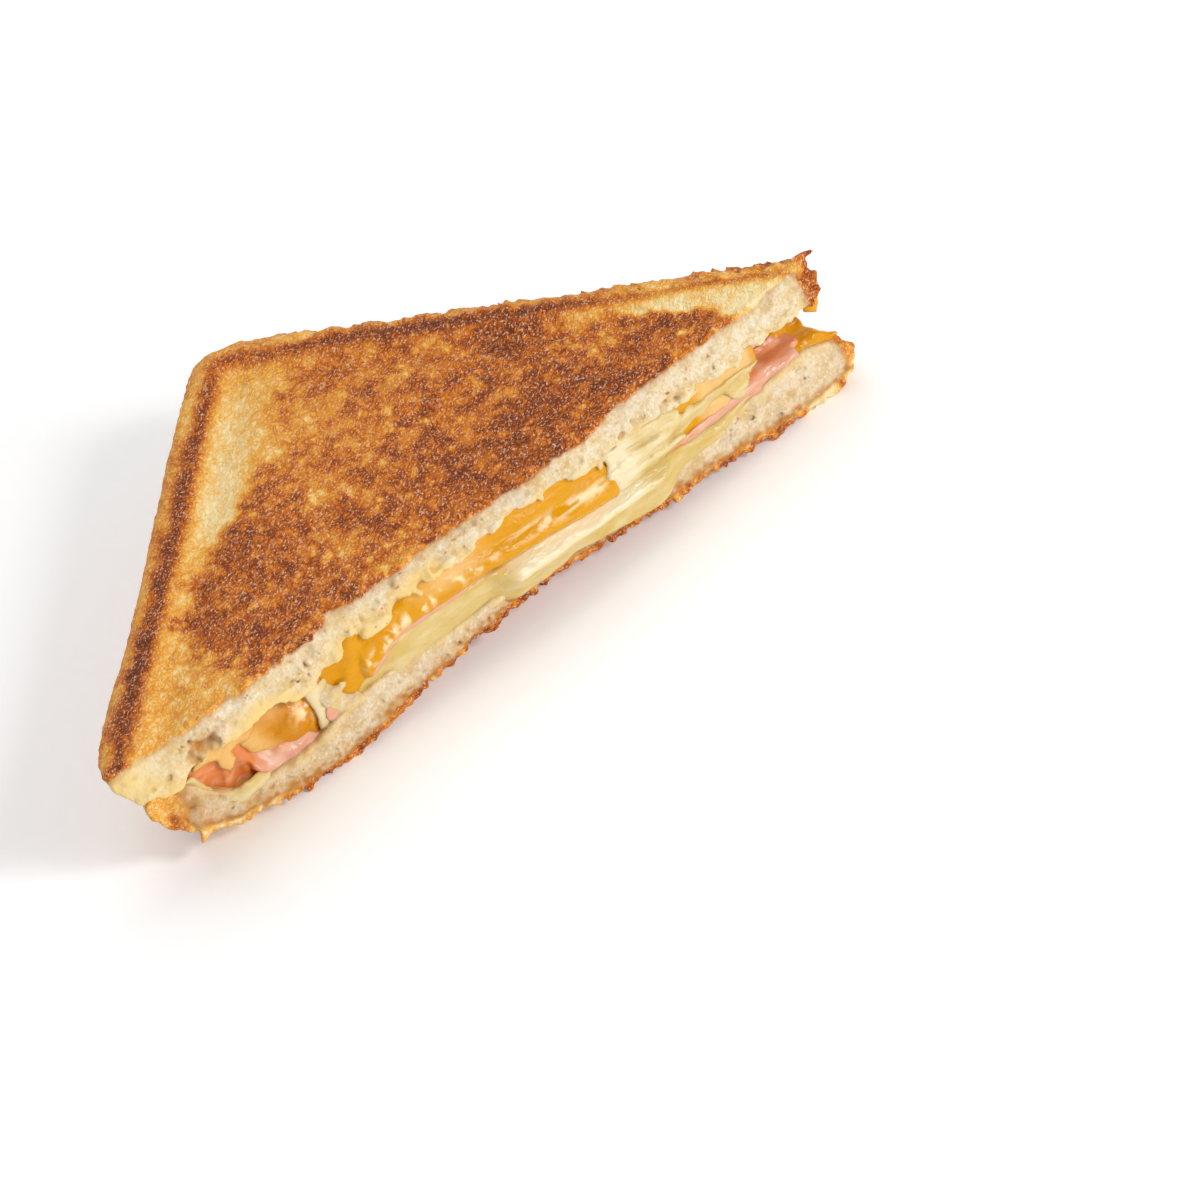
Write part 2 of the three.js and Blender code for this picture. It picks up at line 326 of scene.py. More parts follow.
def along(points, x, softness=2.0):
    """A smooth line through (x, z) points, read at each x."""
    places, heights = np.array(points, float).T
    fine = np.arange(-90, 90, 0.25)
    window = np.hanning(int(softness * 4) * 2 + 1)
    straight = np.interp(np.pad(fine, len(window) // 2, mode="edge"), places, heights)
    return np.interp(x, fine, np.convolve(straight, window / window.sum(), "valid"))


def lumps(points, size, seed):
    """Smooth random values from -1 to 1 at points, with lumps about as large as size, one number or three."""
    values = np.random.default_rng(seed).uniform(-1, 1, (48, 48, 48)).astype(np.float32)
    place = np.asarray(points, np.float32) / np.asarray(size, np.float32)
    cell = np.floor(place).astype(int)
    share = place - cell
    share = share * share * (3 - 2 * share)
    total = np.zeros(len(place), np.float32)
    for corner in itertools.product((0, 1), repeat=3):
        weight = np.prod(np.where(corner, share, 1 - share), axis=1)
        i, j, k = ((cell + corner) % 48).T
        total += weight * values[i, j, k]
    return total


def outline_distance(outline, x, z):
    """How far points lie outside a straight-sided outline of (x, z) corners: below 0 inside it."""
    nearest = np.full(x.shape, np.inf)
    inside = np.zeros(x.shape, bool)
    for (x0, z0), (x1, z1) in zip(outline, outline[1:] + outline[:1]):
        run, rise = x1 - x0, z1 - z0
        share = np.clip(((x - x0) * run + (z - z0) * rise) / (run ** 2 + rise ** 2), 0, 1)
        nearest = np.minimum(nearest, np.hypot(x - x0 - share * run, z - z0 - share * rise))
        if rise:
            inside ^= ((z0 > z) != (z1 > z)) & (x < x0 + (z - z0) * run / rise)
    return np.where(inside, -nearest, nearest)


def as_seen(x, y, z):
    """Where points show on the cut plane from the stage camera, as x and z."""
    return x - SEEN_LEFT * y, z + SEEN_HIGHER * y


def crust_depth(x, y, ends):
    """How far a point of the plan lies inside the crust of a slice with the given ends of its cut."""
    half = BREAD / 2
    across = (x - (ends[0] + ends[1]) / 2) * 2 * HALF_CUT / (ends[1] - ends[0])
    u = np.abs(y + across) / math.sqrt(2)
    v = np.abs(y - across) / math.sqrt(2)
    over_u = u - half + PINCH * (1 - (v / half) ** 2) + CORNER
    over_v = v - half + PINCH * (1 - (u / half) ** 2) + CORNER
    beyond = np.hypot(np.maximum(over_u, 0), np.maximum(over_v, 0))
    return CORNER - beyond - np.minimum(np.maximum(over_u, over_v), 0)


class Block:
    """Grid points, close together at the cut and wider apart behind it, that hold a solid's field: how far
    they are from its surface, below 0 inside it."""

    def __init__(self, x_range, y_range, z_range, cell, widest, spread):
        xs = np.arange(x_range[0], x_range[1] + cell, cell)
        zs = np.arange(z_range[0], z_range[1] + cell, cell)
        self.axes = (xs, self.rows(y_range, cell, widest, spread), zs)
        self.x = self.axes[0][:, None, None]
        self.y = self.axes[1][None, :, None]
        self.z = self.axes[2][None, None, :]
        self.field = None

    @staticmethod
    def rows(y_range, cell, widest, spread):
        """Places along y, a cell apart at the cut and widest cells apart from the depth spread on."""
        places = [y_range[0]]
        while places[-1] < y_range[1]:
            wider = mix(0.9, widest, float(step(places[-1], 4, spread)))
            places.append(places[-1] + cell * wider)
        return np.array(places)

    def window(self, spans):
        """The part of the grid inside a span of x, y and z: its slices, and its x, y and z arrays."""
        part = tuple(slice(*np.searchsorted(axis, span)) for axis, span in zip(self.axes, spans))
        return part, (self.x[part[0]], self.y[:, part[1]], self.z[:, :, part[2]])

    def shift(self, band, amount):
        """Adds amount(points) to the field nearer than band: more of it takes the surface inwards."""
        near = np.nonzero(np.abs(self.field) < band)
        points = np.stack([axis[index] for axis, index in zip(self.axes, near)], axis=1)
        self.field[near] += amount(points)

    def blob(self, centre, radii, turn=0.0, tilt=0.0, softness=0.4, cut=False, ragged=0.0):
        """Joins an ellipsoid to the solid, or cuts it out. It is turned about y and tilted about x, both in
        degrees, and its surface is as uneven as ragged says, in millimetres."""
        reach = max(radii) + 2 * softness + 0.5
        window, places = self.window([(middle - reach, middle + reach) for middle in centre])
        part = self.field[window]
        if part.size == 0:
            return
        turned = Matrix.Rotation(math.radians(turn), 3, "Y") @ Matrix.Rotation(math.radians(tilt), 3, "X")
        offset = [place - middle for place, middle in zip(places, centre)]
        own = [sum(turned[row][axis] * offset[row] for row in range(3)) for axis in range(3)]
        size = np.sqrt(sum((value / radius) ** 2 for value, radius in zip(own, radii)))
        distance = (size - 1) * min(radii)
        if ragged:
            points = np.stack([place.ravel() for place in np.broadcast_arrays(*places)], axis=1)
            distance = distance + ragged * lumps(points, (0.9, 1.2, 1.1), 97).reshape(distance.shape)
        if cut:
            self.field[window] = smooth_max(part, -distance, softness)
        else:
            self.field[window] = smooth_min(part, distance, softness)

    def patch(self, outline, front, seed, back=9.0, softness=0.7):
        """Joins a piece drawn as the stage camera sees it: its outline on the cut plane, as (x, z) corners,
        and front(x, z), how far back its surface lies there. It runs on behind that to the depth back."""
        corners = np.array(outline, float)
        left, bottom = corners.min(axis=0) - 1.5
        right, top = corners.max(axis=0) + 1.5
        across = (left - 2, right + SEEN_LEFT * back)
        window, places = self.window((across, (-4.5, back + 1), (bottom - SEEN_HIGHER * back, top + 4)))
        x, y, z = np.broadcast_arrays(*places)
        seen_x, seen_z = as_seen(x, y, z)
        flat = np.stack([seen_x.ravel(), 0.3 * y.ravel(), seen_z.ravel()], axis=1)
        coarse = lumps(flat, 2.2, seed).reshape(x.shape)
        fine = lumps(flat, 0.9, seed + 1).reshape(x.shape)
        wavy = 0.35 * coarse + 0.15 * fine
        side = outline_distance(outline, seen_x, seen_z) + wavy
        surface = front(seen_x, seen_z) + 0.5 * wavy - y
        solid = smooth_max(smooth_max(side, surface, softness), y - back, 0.5)
        self.field[window] = smooth_min(self.field[window], solid, 0.25)


def crossings(block, axis):
    """Where grid edges along an axis pass through the surface: their lower indices, their places, and whether
    they leave the solid."""
    field = block.field
    low = np.take(field, range(field.shape[axis] - 1), axis)
    high = np.take(field, range(1, field.shape[axis]), axis)
    index = np.stack(np.nonzero((low < 0) != (high < 0)), axis=1)
    before = low[tuple(index.T)]
    after = high[tuple(index.T)]
    places = np.stack([grid[index[:, a]] for a, grid in enumerate(block.axes)], axis=1)
    grid = block.axes[axis]
    spacing = grid[index[:, axis] + 1] - grid[index[:, axis]]
    places[:, axis] += spacing * before / (before - after)
    return index, places, before < 0


def surface_net(block):
    """The surface of a block's field as points and four-sided faces: a point for each cell it crosses."""
    shape = block.field.shape
    cells, places, quads = [], [], []
    unit = np.eye(3, dtype=int)
    for axis in range(3):
        index, spots, leaving = crossings(block, axis)
        first, second = unit[(axis + 1) % 3], unit[(axis + 2) % 3]
        ring = [index - first - second, index - second, index, index - first]
        corners = [np.ravel_multi_index(np.maximum(cell, 0).T, shape) for cell in ring]
        cells.extend(corners)
        places.extend([spots] * 4)
        quad = np.stack(corners, axis=1)
        quads.append(np.where(leaving[:, None], quad, quad[:, ::-1]))
    names, owner = np.unique(np.concatenate(cells), return_inverse=True)
    spots = np.concatenate(places)
    count = np.bincount(owner)
    points = np.stack([np.bincount(owner, spots[:, a]) / count for a in range(3)], axis=1)
    return points, np.searchsorted(names, np.concatenate(quads))


def without_scraps(points, quads):
    """The mesh without its small loose parts."""
    label = np.arange(len(points))
    ends = np.concatenate([quads[:, [0, 1]], quads[:, [1, 2]], quads[:, [2, 3]]])
    while True:
        lowest = np.minimum(label[ends[:, 0]], label[ends[:, 1]])
        joined = label.copy()
        np.minimum.at(joined, label[ends[:, 0]], lowest)
        np.minimum.at(joined, label[ends[:, 1]], lowest)
        joined = joined[joined]
        if np.array_equal(joined, label):
            break
        label = joined
    kept = np.bincount(label)[label] >= LEAST_PART
    number = np.cumsum(kept) - 1
    return points[kept], number[quads[kept[quads[:, 0]]]]


def make_piece(name, points, quads, masks, material):
    """A piece from plan points in millimetres, with one float attribute for each mask."""
    mesh = bpy.data.meshes.new(name)
    placed = (points + np.array((SHIFT_X, SHIFT_Y, 0))) * MM
    mesh.from_pydata(placed.tolist(), [], quads.tolist())
    mesh.polygons.foreach_set("use_smooth", [True] * len(quads))
    for mask, values in masks.items():
        layer = mesh.attributes.new(mask, "FLOAT", "POINT")
        layer.data.foreach_set("value", np.asarray(values, np.float32))
    mesh.materials.append(material)
    mesh.update()
    piece = bpy.data.objects.new(name, mesh)
    bpy.context.scene.collection.objects.link(piece)
    return piece


def finish_piece(name, block, masks, material, node):
    """Meshes a block's field into the piece that stands for the given node."""
    points, quads = without_scraps(*surface_net(block))
    piece = make_piece(name, points, quads, masks(points), material)
    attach(piece, "root")
    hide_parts(node)


# The toasted faces, as toast levels from 0, pale gold, to 1, dark brown


def spot(x, y, place, radii):
    """A soft round or long spot of height 1 on the plan."""
    return np.exp(-(((x - place[0]) / radii[0]) ** 2) - ((y - place[1]) / radii[1]) ** 2)


def turned_plan(points, cosine, sine):
    """Points turned about the vertical."""
    return points @ np.array(((cosine, -sine, 0), (sine, cosine, 0), (0, 0, 1)))


def toast_patterns(points, seed):
    """How unevenly a face is toasted: wide, middling and small lumps, bare flecks, and slanting streaks."""
    flat = points * (1, 1, 0)
    wide, patch, small = (lumps(flat, size, seed + place) for place, size in enumerate((8, 3.4, 1.5)))
    bare = step(lumps(turned_plan(flat, 0.8, 0.6), (1.7, 1.0, 1), seed + 3), 0.56, 0.8)
    streaks = lumps(turned_plan(flat, 0.97, 0.24), (6, 2, 1), seed + 4)
    return wide, patch, small, bare, streaks


def browned_middle(x, y, edge):
    """1 in the browned middle of a toasted face and 0 in the paler band round it, with an uneven edge."""
    to_left = (-y + x + HALF_CUT) / math.sqrt(2)
    to_right = (-y - x + HALF_CUT) / math.sqrt(2)
    left_start = 5.2 + 9 * step(x, -48, -4)
    right_start = 4.4 + 1.8 * step(x, 28, 42) + 2.4 * step(x, 50, 58)
    middle = step(to_left + edge, left_start - 1.5, left_start + 3) * step(x + 1.6 * edge, -54, -45)
    return middle * step(to_right + edge, right_start - 1.2, right_start + 2) * step(-y + edge, -66, -50)


def dark_rim(x, y, left_leg):
    """The dark rim of a toasted face: how far inside the crust it lies, its width and its toast level."""
    place = 3.0 + 0.9 * hill(x, -24, 16) + 1.5 * step(y, 56, 68) - 0.7 * step(-x, 44, 60)
    width = 1.55 + 0.5 * left_leg + 0.9 * (1 - left_leg) * (1 - step(x, 34, 58))
    level = 0.84 - 0.2 * step(y, 56, 72) - 0.1 * hill(x, -72, 8) - 0.32 * step(x, 36, 58)
    level = level + 0.12 * hill(x, -56, 9) + 0.06 * hill(x, 26, 12) + 0.02 * left_leg
    return place, width, level


def toasted_plan(points, ends, seed):
    """How far a toasted face is browned at points of the plan: a dark rim, a pale band and a dark middle."""
    x, y, _ = points.T
    depth = crust_depth(x, y, ends)
    wide, patch, small, bare, streaks = toast_patterns(points, seed)
    middle = browned_middle(x, y, 1.3 * wide + 1.1 * patch + 0.5 * small)
    left_leg = step(-x, -4, 6)
    dark = sum(spot(x, y, *each) for each in DARK_SPOTS)
    light = sum(spot(x, y, *each) for each in LIGHT_SPOTS)
    far_back = step(y + 3 * wide, 34, 56)
    browned = 0.6 + 0.12 * np.minimum(dark, 1) - 0.15 * light - 0.13 * far_back + 0.08 * wide
    plain = 0.25 + 0.05 * wide + 0.03 * step(x, 6, 20) * step(y, 30, 44)
    plain = plain - 0.14 * step(x, 46, 58) - 0.06 * step(y, 54, 62)
    pale = hill(depth, 10, 5.5) * (left_leg * hill(x, -24, 26) + (1 - left_leg) * step(x, 22, 42))
    level = plain - 0.2 * pale + 0.1 * hill(depth, 8, 3) * (1 - left_leg) * step(-x, -50, -30)
    level = mix(level, browned, middle) - 0.26 * bare * middle
    level = mix(0.32 + 0.08 * patch, level, step(depth, 0, 2.2))
    rim_place, rim_width, rim_level = dark_rim(x, y, left_leg)
    level = mix(level, rim_level, hill(depth + 0.35 * patch + 0.3 * small, rim_place, rim_width))
    return level + (0.05 + 0.05 * middle) * patch + (0.06 + 0.1 * middle) * small + 0.08 * middle * streaks


def side_level(points, low, high, seed):
    """How far a crust side is browned: darker at its upper and lower edges."""
    share = np.clip((points[:, 2] - low) / np.maximum(high - low, 1), 0, 1)
    uneven = 0.07 * lumps(points, 5, seed) + 0.06 * lumps(points, 1.6, seed + 1)
    return 0.4 + 0.06 * (2 * share - 1) ** 2 + uneven


# The slices of bread


def shoulder(depth):
    """How far a face drops where it rounds over into the crust."""
    return SHOULDER_DROP * np.maximum(0, 1 - depth / SHOULDER) ** 2


def top_face(x, y, depth):
    """The toasted upper face: rounded at the crust, then a low ridge, a groove and a middle that sags."""
    sag = 1.3 * hill(x, 5, 42) * hill(y, 0, 45)
    pit = 0.8 * spot(x, y, PIT, (1.6, 0.9))
    return HEIGHT - shoulder(depth) + 0.5 * hill(depth, 4.6, 2.2) - 0.8 * hill(depth, 9.5, 3.4) - sag - pit


def top_crumb(x, y, depth):
    """The top slice's soft lower face: its own line at the cut, flat behind it, low at the crust."""
    edge = 15.2 + 2.6 * step(-x, 50, 70) + 3.8 * step(x, 15, 68)
    inside = mix(20.6, edge, hill(depth, 0, 11))
    return mix(inside, along(TOP_LOW, x), hill(y, 0, 9))


def bottom_crumb(x, y, depth):
    """The bottom slice's soft upper face: its own line at the cut, high at the crust."""
    edge = 14.4 + 2.6 * step(-x, 50, 66) - 2.8 * step(x, 15, 70)
    inside = mix(7.6, edge, hill(depth, 0, 9))
    return mix(inside, along(BOTTOM_HIGH, x), hill(y, 0, 9))


def bottom_face(x, y, depth):
    """The toasted lower face: flat on the floor, arched along the cut and curled up at the left end."""
    rounded = np.maximum(0, shoulder(depth) * step(y, 3, 12) - 0.2) * step(y, 0, 9)
    return rounded + along(BOTTOM_UNDER, x) * hill(y, 0, 17)


def cut_front(edge, x, share):
    """How far back the torn cut lies at a share of the slice's height: its upper edge follows a line."""
    return along(edge, x, 1.5) * step(share, 0.3, 1)


def bread_block(ends, heights, low_face, high_face, lean, edge, cell):
    """A slice of bread as a field: between its faces, inside its crust, and behind the torn cut."""
    block = Block((ends[0] - 3, ends[1] + 4.5), (-3, 80), heights, cell, *BREAD_ROWS)
    x, y = block.x[:, :, 0], block.y[:, :, 0]
    depth = crust_depth(x, np.maximum(y, 0), ends)
    low = low_face(x, y, depth)[:, :, None]
    high = high_face(x, y, depth)[:, :, None]
    share = np.clip((block.z - low) / np.maximum(high - low, 1), 0, 1)
    inset = lean(block.x, block.y, share) - CRUST_OUT - CRUST_SWELL * np.sin(math.pi * share)
    side = inset - depth[:, :, None]
    faces = smooth_max(block.z - high, low - block.z, 0.8)
    front = cut_front(edge, block.x, share) - block.y
    block.field = smooth_max(smooth_max(faces, side, 0.7), front, 0.5).astype(np.float32)
    return block


def roughen_bread(block, seed, ragged_side, torn_share):
    """The bread's relief: soft lumps, crumb at the cut as torn as torn_share says, and a crust as ragged as
    ragged_side says."""

    def relief(points):
        at_cut = hill(points[:, 1], 0, 1.8)
        torn = 0.75 * lumps(points, (3.4, 2.4, 2.2), seed) + 0.3 * lumps(points, (1.6, 1.6, 1.4), seed + 6)
        torn = torn + 0.18 * lumps(points, (0.8, 0.9, 1.0), seed + 1)
        soft = 0.14 * lumps(points, 7, seed + 2) + 0.07 * lumps(points, (0.9, 0.8, 0.8), seed + 3)
        crags = 0.35 * lumps(points, 1.7, seed + 4) + 0.65 * lumps(points, 0.8, seed + 5)
        return soft + torn * at_cut * torn_share(points) + crags * ragged_side(points)

    block.shift(1.8, relief)


def carve_pores(block, count, lower_line, upper_at, ends, sizes, seed):
    """Small holes of the crumb that the knife has opened."""
    random = np.random.default_rng(seed)
    for x in random.uniform(ends[0] + 2, ends[1] - 2, count):
        floor, roof = float(along(lower_line, x)) + 2.0, upper_at(x) - 1.2
        if roof <= floor:
            continue
        size = sizes[0] + (sizes[1] - sizes[0]) * random.random() ** 3
        radii = size * random.uniform((0.8, 0.5, 0.7), (1.7, 0.9, 1.1))
        centre = (x, random.uniform(-0.1, 0.4) * size, random.uniform(floor, roof))
        block.blob(centre, tuple(radii), random.uniform(-40, 40), 0, 0.25, cut=True)


def add_crumbs(block, count, pick, sizes, seed):
    """A number of crumbs stuck on where pick says."""
    random = np.random.default_rng(seed)
    for _ in range(count):
        size = random.uniform(*sizes)
        radii = size * random.uniform(0.7, 1.4, 3)
        block.blob(pick(random), tuple(radii), random.uniform(0, 180), random.uniform(0, 90), 0.3)


def bread_masks(low, high, ends, edge, thick, level, soaked, stain_and_shade, seed):
    """The masks of a slice: toast level, how much is open crumb, how much cheese or butter it has soaked up,
    and how far the crumb is browned next to its skin, with painted shade in its sunk hollows."""

    def masks(points):
        x, y, z = points.T
        depth = crust_depth(x, np.maximum(y, 0), ends)
        roof, floor = high(x, y, depth), low(x, y, depth)
        skin, toast = level(points, depth, roof, floor)
        uneven = 0.3 * lumps(points, 1.1, seed) + 0.2 * lumps(points, 3, seed + 1)
        crumb = step(skin + uneven, 0.45 * thick(points), 1.15 * thick(points))
        crumb = crumb * (1 - step(y, 4, 8) * step(z - roof, -4, -2))
        flecks = step(lumps(points, (0.7, 0.7, 0.5), seed + 4), 0.72, 0.86)
        crumb = crumb * (1 - flecks * step(lumps(points, 7, seed + 5), -0.2, 0.5))
        browned = hill(skin, 0, 1.5 * thick(points)) * (0.8 + 0.6 * lumps(points, 0.9, seed + 2))
        share = np.clip((z - floor) / np.maximum(roof - floor, 1), 0, 1)
        sunk = y - cut_front(edge, x, share)
        # Painted shade: tan laid into the crumb where the torn cut sinks back into hollows
        hollow = 0.5 * step(sunk, 0.35, 1.7) * step(-y, -9, -5) * (1 + 0.5 * lumps(points, 1.3, seed + 3))
        browned = np.clip(np.maximum(browned, hollow) + stain_and_shade(points), 0, 1)
        soak = np.clip(soaked(points, roof, floor), 0, 1)
        return {"toast": toast, "crumb": crumb, "soak": soak, "browned": browned}

    return masks


# The top slice


def top_high_at(x):
    """The height of the top slice's cut at x."""
    return float(top_face(np.array(x), np.array(0.0), np.array(12.0)))


def top_thick(points):
    """The toasted skin of the top slice is equally thick throughout."""
    return 0.75 + 0 * points[:, 0]


def top_level(points, depth, roof, floor):
    """How deep points of the top slice lie below its toasted skin, and their toast level."""
    x, y, z = points.T
    side = np.maximum(depth - 0.4, 0) + 2.5 * step(-x, 62, 70) * hill(y, 0, 7)
    below = roof - z
    on_side = step(below - depth, 0, 2)
    toast = mix(toasted_plan(points, TOP_ENDS, 11), side_level(points, floor, roof, 15), on_side)
    toast = toast + 0.24 * step(x, 62, 70) * step(below - depth, -1, 1)
    return np.minimum(below, side / mix(1.5, 2.4, step(x, 66, 72))), toast


def top_soak(points, roof, floor):
    """Where cheese has soaked into the top slice: above the fillings, in patches, and at the left end."""
    x, _, z = points.T
    above = z - floor
    left = hill(x, -46, 9) * hill(above, 0.6, 2)
    middle = 1.1 * hill(x, -13, 7) * hill(above, 1.2, 1.8) + 0.7 * hill(x, -27, 5) * hill(above, 1, 2.8)
    tip = 0.75 * step(-x, 58, 72)
    seam = 0.5 * hill(above, 0, 1)
    strand = 0.4 * hill(x, -33, 3) * step(-z, -18, -16)
    return left + middle + tip + seam + strand + 0.2 * lumps(points, 3, 91)


def top_stain(points):
    """Painted shade: tan laid into the big torn hollows near the left end."""
    x, y, z = points.T
    return 0.6 * hill(x, -58, 3) * hill(z, 21.4, 2) * hill(y, 0, 5) * (1 + 0.6 * lumps(points, 1.2, 94))


def right_leg_edge(random):
    """A place on the rim of the right crust side."""
    along_leg = random.uniform(0.02, 0.93)
    out = random.uniform(-0.4, 0.7)
    x, y = 76.4 * (1 - along_leg), 76.4 * along_leg
    return (x + out / 1.5, y + out / 1.5, random.uniform(19, 25.4))


def left_leg_edge(random):
    """A place on the rim of the left crust side, near its end."""
    along_leg = random.uniform(0.1, 0.4)
    x, y = -76.6 * (1 - along_leg), 76.3 * along_leg
    return (x - 0.2, y + 0.2, random.uniform(21, 25))


def top_slice(cell):
    """The upper slice, with its torn cut, pores, the strand that hangs from it and a ragged right crust."""

    def lean(x, y, share):
        left = (0.8 + 1.2 * hill(x, -66, 10)) * step(y, 2, 9) * (1 - step(y, 60, 74)) * step(-x, 0, 4)
        right = 2.0 * step(x, 2, 8) * step(y, -2, 6) * (1 - 0.5 * step(y, 70, 78))
        return 4.2 * (1 - share) * step(-x, 58, 74) * hill(y, 0, 12) - left - right

    def ragged(points):
        x, y, _ = points.T
        return 0.3 + 0.7 * step(x, 2, 14) * step(3.5 - crust_depth(x, y, TOP_ENDS), 0, 2)

    def torn_share(points):
        return 1 + 1.5 * hill(points[:, 0], -15, 17)

    block = bread_block(TOP_ENDS, (6, 29), top_crumb, top_face, lean, TOP_EDGE, cell)
    block.patch(TORN_STRAND, lambda x, z: 1.0 - 0.9 * step(-z, -17, -9), 26, back=3.5, softness=0.5)
    add_crumbs(block, RIGHT_LEG_CRUMBS, right_leg_edge, (0.25, 0.6), 24)
    add_crumbs(block, LEFT_LEG_CRUMBS, left_leg_edge, (0.3, 0.6), 25)
    roughen_bread(block, 22, ragged, torn_share)
    carve_pores(block, TOP_PORES, TOP_LOW, top_high_at, TOP_ENDS, (0.28, 0.7), 23)
    for centre, radii, turn in TOP_HOLLOWS:
        block.blob(centre, radii, turn, 0, 0.5, cut=True, ragged=0.9)
    for centre, radii, turn, tilt in TOP_FLAKES:
        block.blob(centre, radii, turn, tilt, 0.4)
    return block


# The bottom slice


def bottom_high_at(x):
    """The height of the bottom slice's cut at x."""
    return float(along(BOTTOM_HIGH, x))


def above_arch(points):
    """How high points lie above the lower edge of the bottom slice's cut."""
    return points[:, 2] - along(BOTTOM_UNDER, points[:, 0])


def bottom_thick(points):
    """The toasted skin of the bottom slice is thick and crumbly at the cut."""
    at_cut = hill(points[:, 1], 0, 3)
    return 0.8 + 0.35 * at_cut + 1.8 * step(-points[:, 0], 59, 65) * hill(points[:, 1], 0, 6)


def bottom_level(points, depth, roof, floor):
    """How deep points of the bottom slice lie above its toasted skin, and their toast level."""
    x, y, z = points.T
    above = z - floor
    face = toasted_plan(points, BOTTOM_ENDS, 31) - 0.03
    toast = mix(face, side_level(points, floor, roof, 35), step(above - depth, 0, 2))
    left_end = step(-x, 58, 66) * hill(y, 0, 6)
    right_end = step(x, 68, 74) * hill(y, 0, 6)
    low_edge = hill(y, 0, 3) * hill(above, 0, 2.5)
    toast = toast - 0.1 * left_end - 0.06 * right_end + (0.2 * lumps(points, 0.9, 37) - 0.02) * low_edge
    return np.minimum(above, depth / mix(1.3, 1.9, left_end)), toast


def bottom_soak(points, roof, floor):
    """Where cheese has soaked into the bottom slice: just below the fillings."""
    return 0.5 * hill(roof - points[:, 2], 0, 1.2) + 0.15 * lumps(points, 3, 92)


def bottom_stain(points):
    """Tan towards the left end, and a little all along the lower edge of the cut."""
    x, y, _ = points.T
    left = 0.12 + 0.2 * step(-x, 34, 58) * (1 + 0.7 * lumps(points, (1.5, 1.5, 3), 95))
    grains = np.maximum(0, 1 + 2.6 * lumps(points, (0.7, 0.8, 0.6), 96))
    return hill(y, 0, 7) * (left + 0.3 * hill(above_arch(points), 1.2, 1.3) * grains)


def lower_edge(random):
    """A place on the ragged lower edge of the bottom slice's cut."""
    x = random.uniform(-60, 74)
    return (x, random.uniform(0.1, 1.6), float(along(BOTTOM_UNDER, x)) + random.uniform(-0.5, 0.5))


def bottom_slice(cell):
    """The lower slice: arched, curled up at the left end, with toasted crumbs along its lower edge."""

    def lean(x, y, share):
        return 1.2 * (1 - share) * step(-x, 58, 68) * hill(y, 0, 10)

    def ragged(points):
        x, y, _ = points.T
        low_edge = hill(y, 0, 2) * hill(above_arch(points), 0, 1.4)
        right_crust = step(x, 30, 60) * step(3 - crust_depth(x, y, BOTTOM_ENDS), 0, 2)
        return 0.12 + 0.25 * np.maximum(low_edge, right_crust)

    def torn_share(points):
        return 1 - 0.75 * hill(above_arch(points), 0, 1.8)

    block = bread_block(BOTTOM_ENDS, (-2.5, 20.5), bottom_face, bottom_crumb, lean, STRAIGHT_EDGE, cell)
    add_crumbs(block, LOWER_EDGE_CRUMBS, lower_edge, (0.2, 0.5), 44)
    roughen_bread(block, 42, ragged, torn_share)
    carve_pores(block, BOTTOM_PORES, BOTTOM_UNDER, bottom_high_at, (-62, BOTTOM_ENDS[1]), (0.25, 0.5), 43)
    block.patch(BOTTOM_LEAF, lambda x, z: -0.3 - 0.5 * hill(x - 0.2 * z, -65, 1), 46, back=2.0, softness=0.4)
    for centre, radii, turn, tilt in BOTTOM_FLAKES:
        block.blob(centre, radii, turn, tilt, 0.5)
    block.field = np.maximum(block.field, (-block.z + FLOOR_CLEARANCE).astype(np.float32))
    return block


# The fillings


def filling_block(low, high, front, x_range, cell, roundness):
    """A melted layer as a field: between two heights, behind its own front, and clear of the crust."""
    block = Block((-68, 79), (-5, 70), (3, 23.5), cell, *FILLING_ROWS)
    x, y = block.x[:, :, 0], block.y[:, :, 0]
    depth = crust_depth(x, np.maximum(y, 0), FILLED_ENDS)[:, :, None]
    floor, roof = low(x, y)[:, :, None], high(x, y)[:, :, None]
    faces = smooth_max(floor - block.z, block.z - roof, 0.6)
    inside = mix(5, 2.2, hill(block.y, 0, 10)) - depth
    body = smooth_max(faces, front(block.x, block.z) - block.y, roundness)
    ends = np.maximum(x_range[0] - block.x, block.x - x_range[1])
    block.field = smooth_max(smooth_max(body, inside, 2.0), ends, 1.0).astype(np.float32)
    return block


def layer_height(points, inner, reach=12):
    """A layer's height: its own line at the cut, and the inner height behind it, farther back than reach."""
    return lambda x, y: mix(inner, along(points, x), hill(y, 0, reach))


def even_front(depth):
    """The front of a patch that lies at one depth."""
    return lambda x, z: depth + 0 * x


def make_uneven(block, band, coarse, fine, seed):
    """Coarse and fine lumps on a melted surface, each as its height and size."""

    def relief(points):
        return coarse[0] * lumps(points, coarse[1], seed) + fine[0] * lumps(points, fine[1], seed + 1)

    block.shift(band, relief)


def orange_front(x, z):
    """How far back the orange cheese lies: a band swollen out over a crease, and drawn back at both ends."""
    ridge = along(ORANGE_RIDGE, x)
    swell = 1.5 + 1.6 * hill(x, 14, 15)
    above = hill(z, ridge, 3.4)
    below = hill(z, ridge, 2.2)
    crease = 0.7 * hill(z, ridge + 2.4, 0.8) * hill(x, 10, 12)
    drawn_back = 5.6 * step(x, 26, 27.4) + 2.2 * step(-x, 26.8, 28.8) + 2 * step(-x, 35, 38)
    return 0.9 - swell * np.where(z > ridge, above, below) + crease + drawn_back


